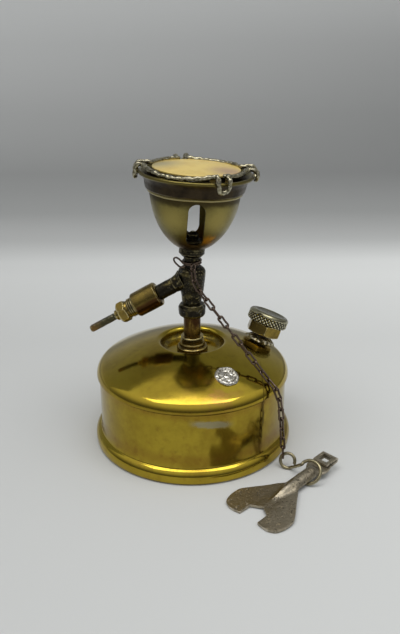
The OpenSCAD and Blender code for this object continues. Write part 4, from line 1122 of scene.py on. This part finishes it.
def neckWire():
    s = tie
    r, centre = s["wire"] / 2, (0, 0, s["loopZ"])
    turns = sweep(40, 0, 360)[:-1]
    wavy = [p + Vector((0, 0, 0.35 * math.sin(math.atan2(p.y, p.x) + 1.2)))
            for p in bow(centre, (1, 0, 0), (0, 1, 0), s["loopR"] + 0.05, turns)]
    second = [p + Vector((0, 0, -0.85)) for p in bow(centre, (1, 0, 0), (0, 1, 0), s["loopR"], turns)]
    eye = bow(s["eye"], unit(links["side"]), (0, 0, 1), s["eyeR"], sweep(28, 0, 360)[:-1])
    parts = [tubeAlong(smoothPath(wavy, 0.35, True), r, True, 12, 0.06, 1.2, 1),
             tubeAlong(smoothPath(second, 0.35, True), r * 0.9, True, 12, 0.06, 1.2, 3),
             tubeAlong(smoothPath(eye, 0.3, True), r, True, 12, 0.05, 1.0, 2),
             tubeAlong(smoothPath(s["stem"], 0.3), r * 0.95, False, 12, 0.04, 1, 5),
             tubeAlong(smoothPath(s["hairpin"], 0.3), r * 0.95, False, 12, 0.05, 1.2, 6)]
    addPiece("neckWire", "neck_wire", "chain_bronze", *joined(parts), body="neck_loop", sharp=70)


def along(route, s):
    for a, b in zip(route, route[1:]):
        run = (b - a).length
        if s <= run + 1e-9:
            return a + (b - a) * (s / run)
        s -= run
    return route[-1]


def chainRun(name, node, route, twist, body):
    s = links
    route = [Vector(p) for p in route]
    total = sum((b - a).length for a, b in zip(route, route[1:]))
    count = 2 * round(total / s["pitch"] / 2)
    mid = (s["width"] - s["wire"]) / 2
    half = (s["pitch"] + s["wire"] + s["play"]) / 2 - mid
    link = [Vector((half + mid * math.cos(t), mid * math.sin(t), 0)) for t in sweep(12, -90, 90)]
    link += [Vector((half * f, mid * (1 - 0.10 * (1 - f * f)), 0)) for f in (0.6, 0.2, -0.2, -0.6)]
    link = smoothPath(link + [-p for p in link], 0.32, True)
    parts = []
    for i in range(count):
        a, b = along(route, i * total / count), along(route, (i + 1) * total / count)
        way = (b - a).normalized()
        level = unit(s["side"])
        level = (level - level.dot(way) * way).normalized()
        turn = math.radians(twist * i / (count - 1) + (0 if i % 2 else 90) + s["rock"] * math.sin(i * 2.3)
                            + s["lean"] * math.sin(math.pi * (i + 0.5) / count))
        up = math.cos(turn) * level + math.sin(turn) * way.cross(level)
        frameOf = Matrix((way, up, way.cross(up))).transposed()
        path = [(a + b) / 2 + frameOf @ p for p in link]
        parts.append(tubeAlong(path, s["wire"] / 2, True, 12, 0.035, 1.0, i * 1.7))
    addPiece(name, node, "chain_bronze", *joined(parts), body=body, sharp=70)


hook = {"wire": 1.5, "eye": (43.3, -34.4, 3.75), "eyeR": 3.35, "eyeAcross": (0.936, -0.351, 0),
        "eyeUp": (0.143, 0.381, 0.914), "loop": (51.5, -44.7, 4.5), "loopR": 5.3,
        "loopAcross": (0.759, -0.652, 0), "loopUp": (0.462, 0.537, 0.707)}


def bentHook():
    s = hook
    points = bow(s["eye"], unit(s["eyeAcross"]), unit(s["eyeUp"]), s["eyeR"], sweep(15, -12, 300))
    points += bow(s["loop"], unit(s["loopAcross"]), unit(s["loopUp"]), s["loopR"], sweep(16, 163, -110))
    wire = tubeAlong(smoothPath(points, 0.35), s["wire"] / 2, False, 16, 0.05, 2.0, 3)
    addPiece("bentHook", "s_hook", "hook_brass", *wire, body="hook", sharp=70)


# lengths run from the fork's tips to the folded end
key = {
    "length": 56.5, "thick": 1.1, "forkR": 15.4, "foldL": 8, "foldR": 0.8, "tabW": 4.0, "sheetZ": 0.55,
    "jawHalf": 4.85, "jawDepth": 9.4, "hole": 4.8, "holeColumn": 8,
    # half the blade's width at a length: as a share of forkR, then the shank and its tab in millimetres
    "fork": [(0, 0.68), (1.45, 0.87), (5.2, 0.98), (8.7, 1), (11.6, 0.98), (14.5, 0.87), (23.2, 0.47), (26.7, 0.34),
             (29, 0.27)],
    "shank": [(31.5, 3.2), (34, 3.1), (40.5, 3.1), (43, 4.1), (45, 4.9), (48.8, 5.0), (51, 4.2), (56.5, 4.0)],
}


def outlineOf(table, x):   # smooth interpolation in a small table
    for i, ((x0, y0), (x1, y1)) in enumerate(zip(table, table[1:])):
        if x <= x1:
            f = (x - x0) / (x1 - x0)
            before = table[i - 1] if i else (x0, y0)
            after = table[i + 2] if i + 2 < len(table) else (x1, y1)
            m0 = (y1 - before[1]) / max(1e-6, x1 - before[0]) * (x1 - x0)
            m1 = (after[1] - y0) / max(1e-6, after[0] - x0) * (x1 - x0)
            return ((2 * f ** 3 - 3 * f * f + 1) * y0 + (f ** 3 - 2 * f * f + f) * m0
                    + (3 * f * f - 2 * f ** 3) * y1 + (f ** 3 - f * f) * m1)
    return table[-1][1]


def easeUp(x, low, high):
    f = clamp((x - low) / (high - low))
    return f * f * (3 - 2 * f)


def jawAt(x):   # half the jaw's opening at a length: slightly wider at its mouth, pointed at its end
    half, depth = key["jawHalf"], key["jawDepth"]
    if x < 0.6:
        return 7.7 + (half - 7.7) * x / 0.6
    corner = depth - half / math.sqrt(3)
    return half if x < corner else max(0.0, half * (depth - x) / (depth - corner))


def sheetAt(x, y, w):   # a point of the sheet's middle: flat, then ridged, then a channel, then flat again
    end = 1 - easeUp(x, 41.5, 45.5)
    channel = easeUp(x, 25, 31) * end
    ridge = 2.2 * easeUp(x, 12, 27) * end * math.exp(-(y / (0.7 + 1.4 * easeUp(x, 14, 30))) ** 2)
    a = y / w * math.pi / 2
    return Vector((x, y, key["sheetZ"] + ridge)).lerp(Vector((x, 2.6 * math.sin(a), 0.1 + 2.5 * math.cos(a))), channel)


def spannerKey():
    s = key
    outer = [(x, share * s["forkR"]) for x, share in s["fork"]] + s["shank"]
    halfHole, holeColumn, foldR = s["hole"] / 2, s["holeColumn"], s["foldR"]
    middle = s["length"] - s["foldL"] / 2
    stations = [0, 0.3, 0.6] + [0.6 + 6.0 * i / 8 for i in range(1, 9)] + [6.6 + 2.8 * i / 5 for i in range(1, 6)]
    stations += [x for x in [9.4 + 0.8 * i for i in range(1, 42)] if x < 43]
    stations += [43.2, 44.2, 45.4, 46.6, 47.6, 48.6, 49.6, middle - halfHole, middle - 0.6, middle + 0.6,
                 middle + halfHole, 55.0, 55.6]
    columns = [i / 14 for i in range(15)]
    columns[holeColumn] = halfHole / s["tabW"]
    verts, faces, rows = [], [], []

    def addRow(pointAt, merged):   # merged where the jaw is closed, so both sides share their first column
        row = {}
        for side in (1, -1):
            for c, f in enumerate(columns):
                if merged and side == -1 and c == 0:
                    row[(side, c)] = row[(1, 0)]
                    continue
                row[(side, c)] = len(verts)
                verts.append(pointAt(side, f))
        rows.append(row)

    for x in stations:
        a, b = jawAt(x), outlineOf(outer, x)
        addRow(lambda side, f: sheetAt(x, side * (a + (b - a) * f), b), a == 0)
    for t in sweep(10, -90, 90)[1:]:   # the end is folded back over itself
        x, z = 55.6 + foldR * math.cos(t), s["sheetZ"] + foldR + foldR * math.sin(t)
        addRow(lambda side, f: (x, side * f * s["tabW"], z), True)
        stations.append(100)
    for x in (55.2, middle + halfHole, middle + 0.6, middle - 0.6, middle - halfHole, 49.8, 48.9, 48.5):
        addRow(lambda side, f: (x, side * f * s["tabW"], s["sheetZ"] + 2 * foldR), True)
        stations.append(x)
    for j, (low, high) in enumerate(zip(rows, rows[1:])):
        a, b = sorted(stations[j:j + 2])
        holed = middle - halfHole - 0.01 <= a and b <= middle + halfHole + 0.01
        for side in (1, -1):
            for c in range(holeColumn if holed else 0, len(columns) - 1):
                quad = (low[(side, c)], low[(side, c + 1)], high[(side, c + 1)], high[(side, c)])
                faces.append(quad if side == 1 else quad[::-1])
    addPiece("spannerKey", "spanner", "spanner_steel", verts, faces, matrix=onGround, body="key",
             warp=lumps((15, 2, 0.22), (3, 7, 0.05)), thick=s["thick"], bevel=0.22, sharp=50, spread=2)


neckWire()
chainRun("chainUpper", "chain_upper", links["upper"], 0, "upper_run")
chainRun("chainLower", "chain_lower", links["lower"], links["twist"], "lower_run")
bentHook()
spannerKey()
print("chain, hook and spanner made")


# floor, backdrop and lamp

def makeSweep():
    s = studio
    line = [(-2500, 0), *[(600 + 500 * math.sin(t), 500 * (1 - math.cos(t))) for t in sweep(15, 0, 90)], (1100, 2600)]
    n = len(line)
    mesh = bpy.data.meshes.new("studioSweep")
    mesh.from_pydata([Vector((x, y, z)) / 1000 for x in (-3000, 3000) for y, z in line], [],
                     [(i, i + 1, n + i + 1, n + i) for i in range(n - 1)])
    mesh.polygons.foreach_set("use_smooth", [True] * len(mesh.polygons))
    addObject("studioSweep", mesh)
    material = bpy.data.materials.new("studioPaper")
    mesh.materials.append(material)
    g = Graph(material)
    x, y, z = g.parts(g.place())
    first, last = s["paper"][0][0], s["paper"][-1][0]
    # painted light: the paper's ramp of paleness, by distance behind the stove and up the backdrop
    stops = [((where - first) / (last - first), [grey * c for c in s["tint"]]) for where, grey in s["paper"]]
    far = y + z
    ramp = g.node("ShaderNodeValToRGB", {"stops": stops}, {"Fac": (far - first) / (last - first)})
    # painted light: the floor is paler on the right, the middle of the backdrop on the left
    lift = x * s["rightLift"] * (1.0 - far.ease(255, 410) - far.ease(420, 850) * far.ease(1500, 1000) * 0.75)
    brighter = lift.least(0.18).most(-0.18) + 1.0
    paper = g.node("ShaderNodeVectorMath", {"operation": "SCALE"}, {0: g.out(ramp, "Color"), "Scale": brighter})
    g.show(g.node("ShaderNodeBsdfPrincipled", None, {"Base Color": g.out(paper, "Vector"), "Roughness": 0.85}))


def makeLight():
    s = studio
    world = bpy.data.worlds.new("studioRoom")
    bpy.context.scene.world = world
    g = Graph(world)
    y, z = g.parts(g.out(g.node("ShaderNodeTexCoord"), "Generated"))[1:]
    level = s["front"] + z.ease(0.1, 0.88) * (s["sky"] - s["front"]) + y.ease(-0.2, 0.9) * 0.22 * z.ease(1.0, 0.3)
    tone = g.node("ShaderNodeCombineColor", None, {"Red": level, "Green": level, "Blue": level * 1.02})
    g.show(g.node("ShaderNodeBackground", None, {"Color": g.out(tone, "Color"), "Strength": 1.0}),
           "ShaderNodeOutputWorld")
    lamp = bpy.data.lights.new("ceilingLamp", "AREA")
    lamp.shape = "RECTANGLE"
    lamp.size, lamp.size_y = s["lampSize"]
    lamp.energy = s["lampPower"]
    lamp.color = (1, 0.985, 0.95)
    holder = addObject("ceilingLamp", lamp)
    holder.location = s["lampPlace"]
    holder.rotation_mode = "QUATERNION"
    holder.rotation_quaternion = (Vector((0, 0, 0.04)) - holder.location).to_track_quat("-Z", "Y")


makeSweep()
makeLight()
print("studio made")
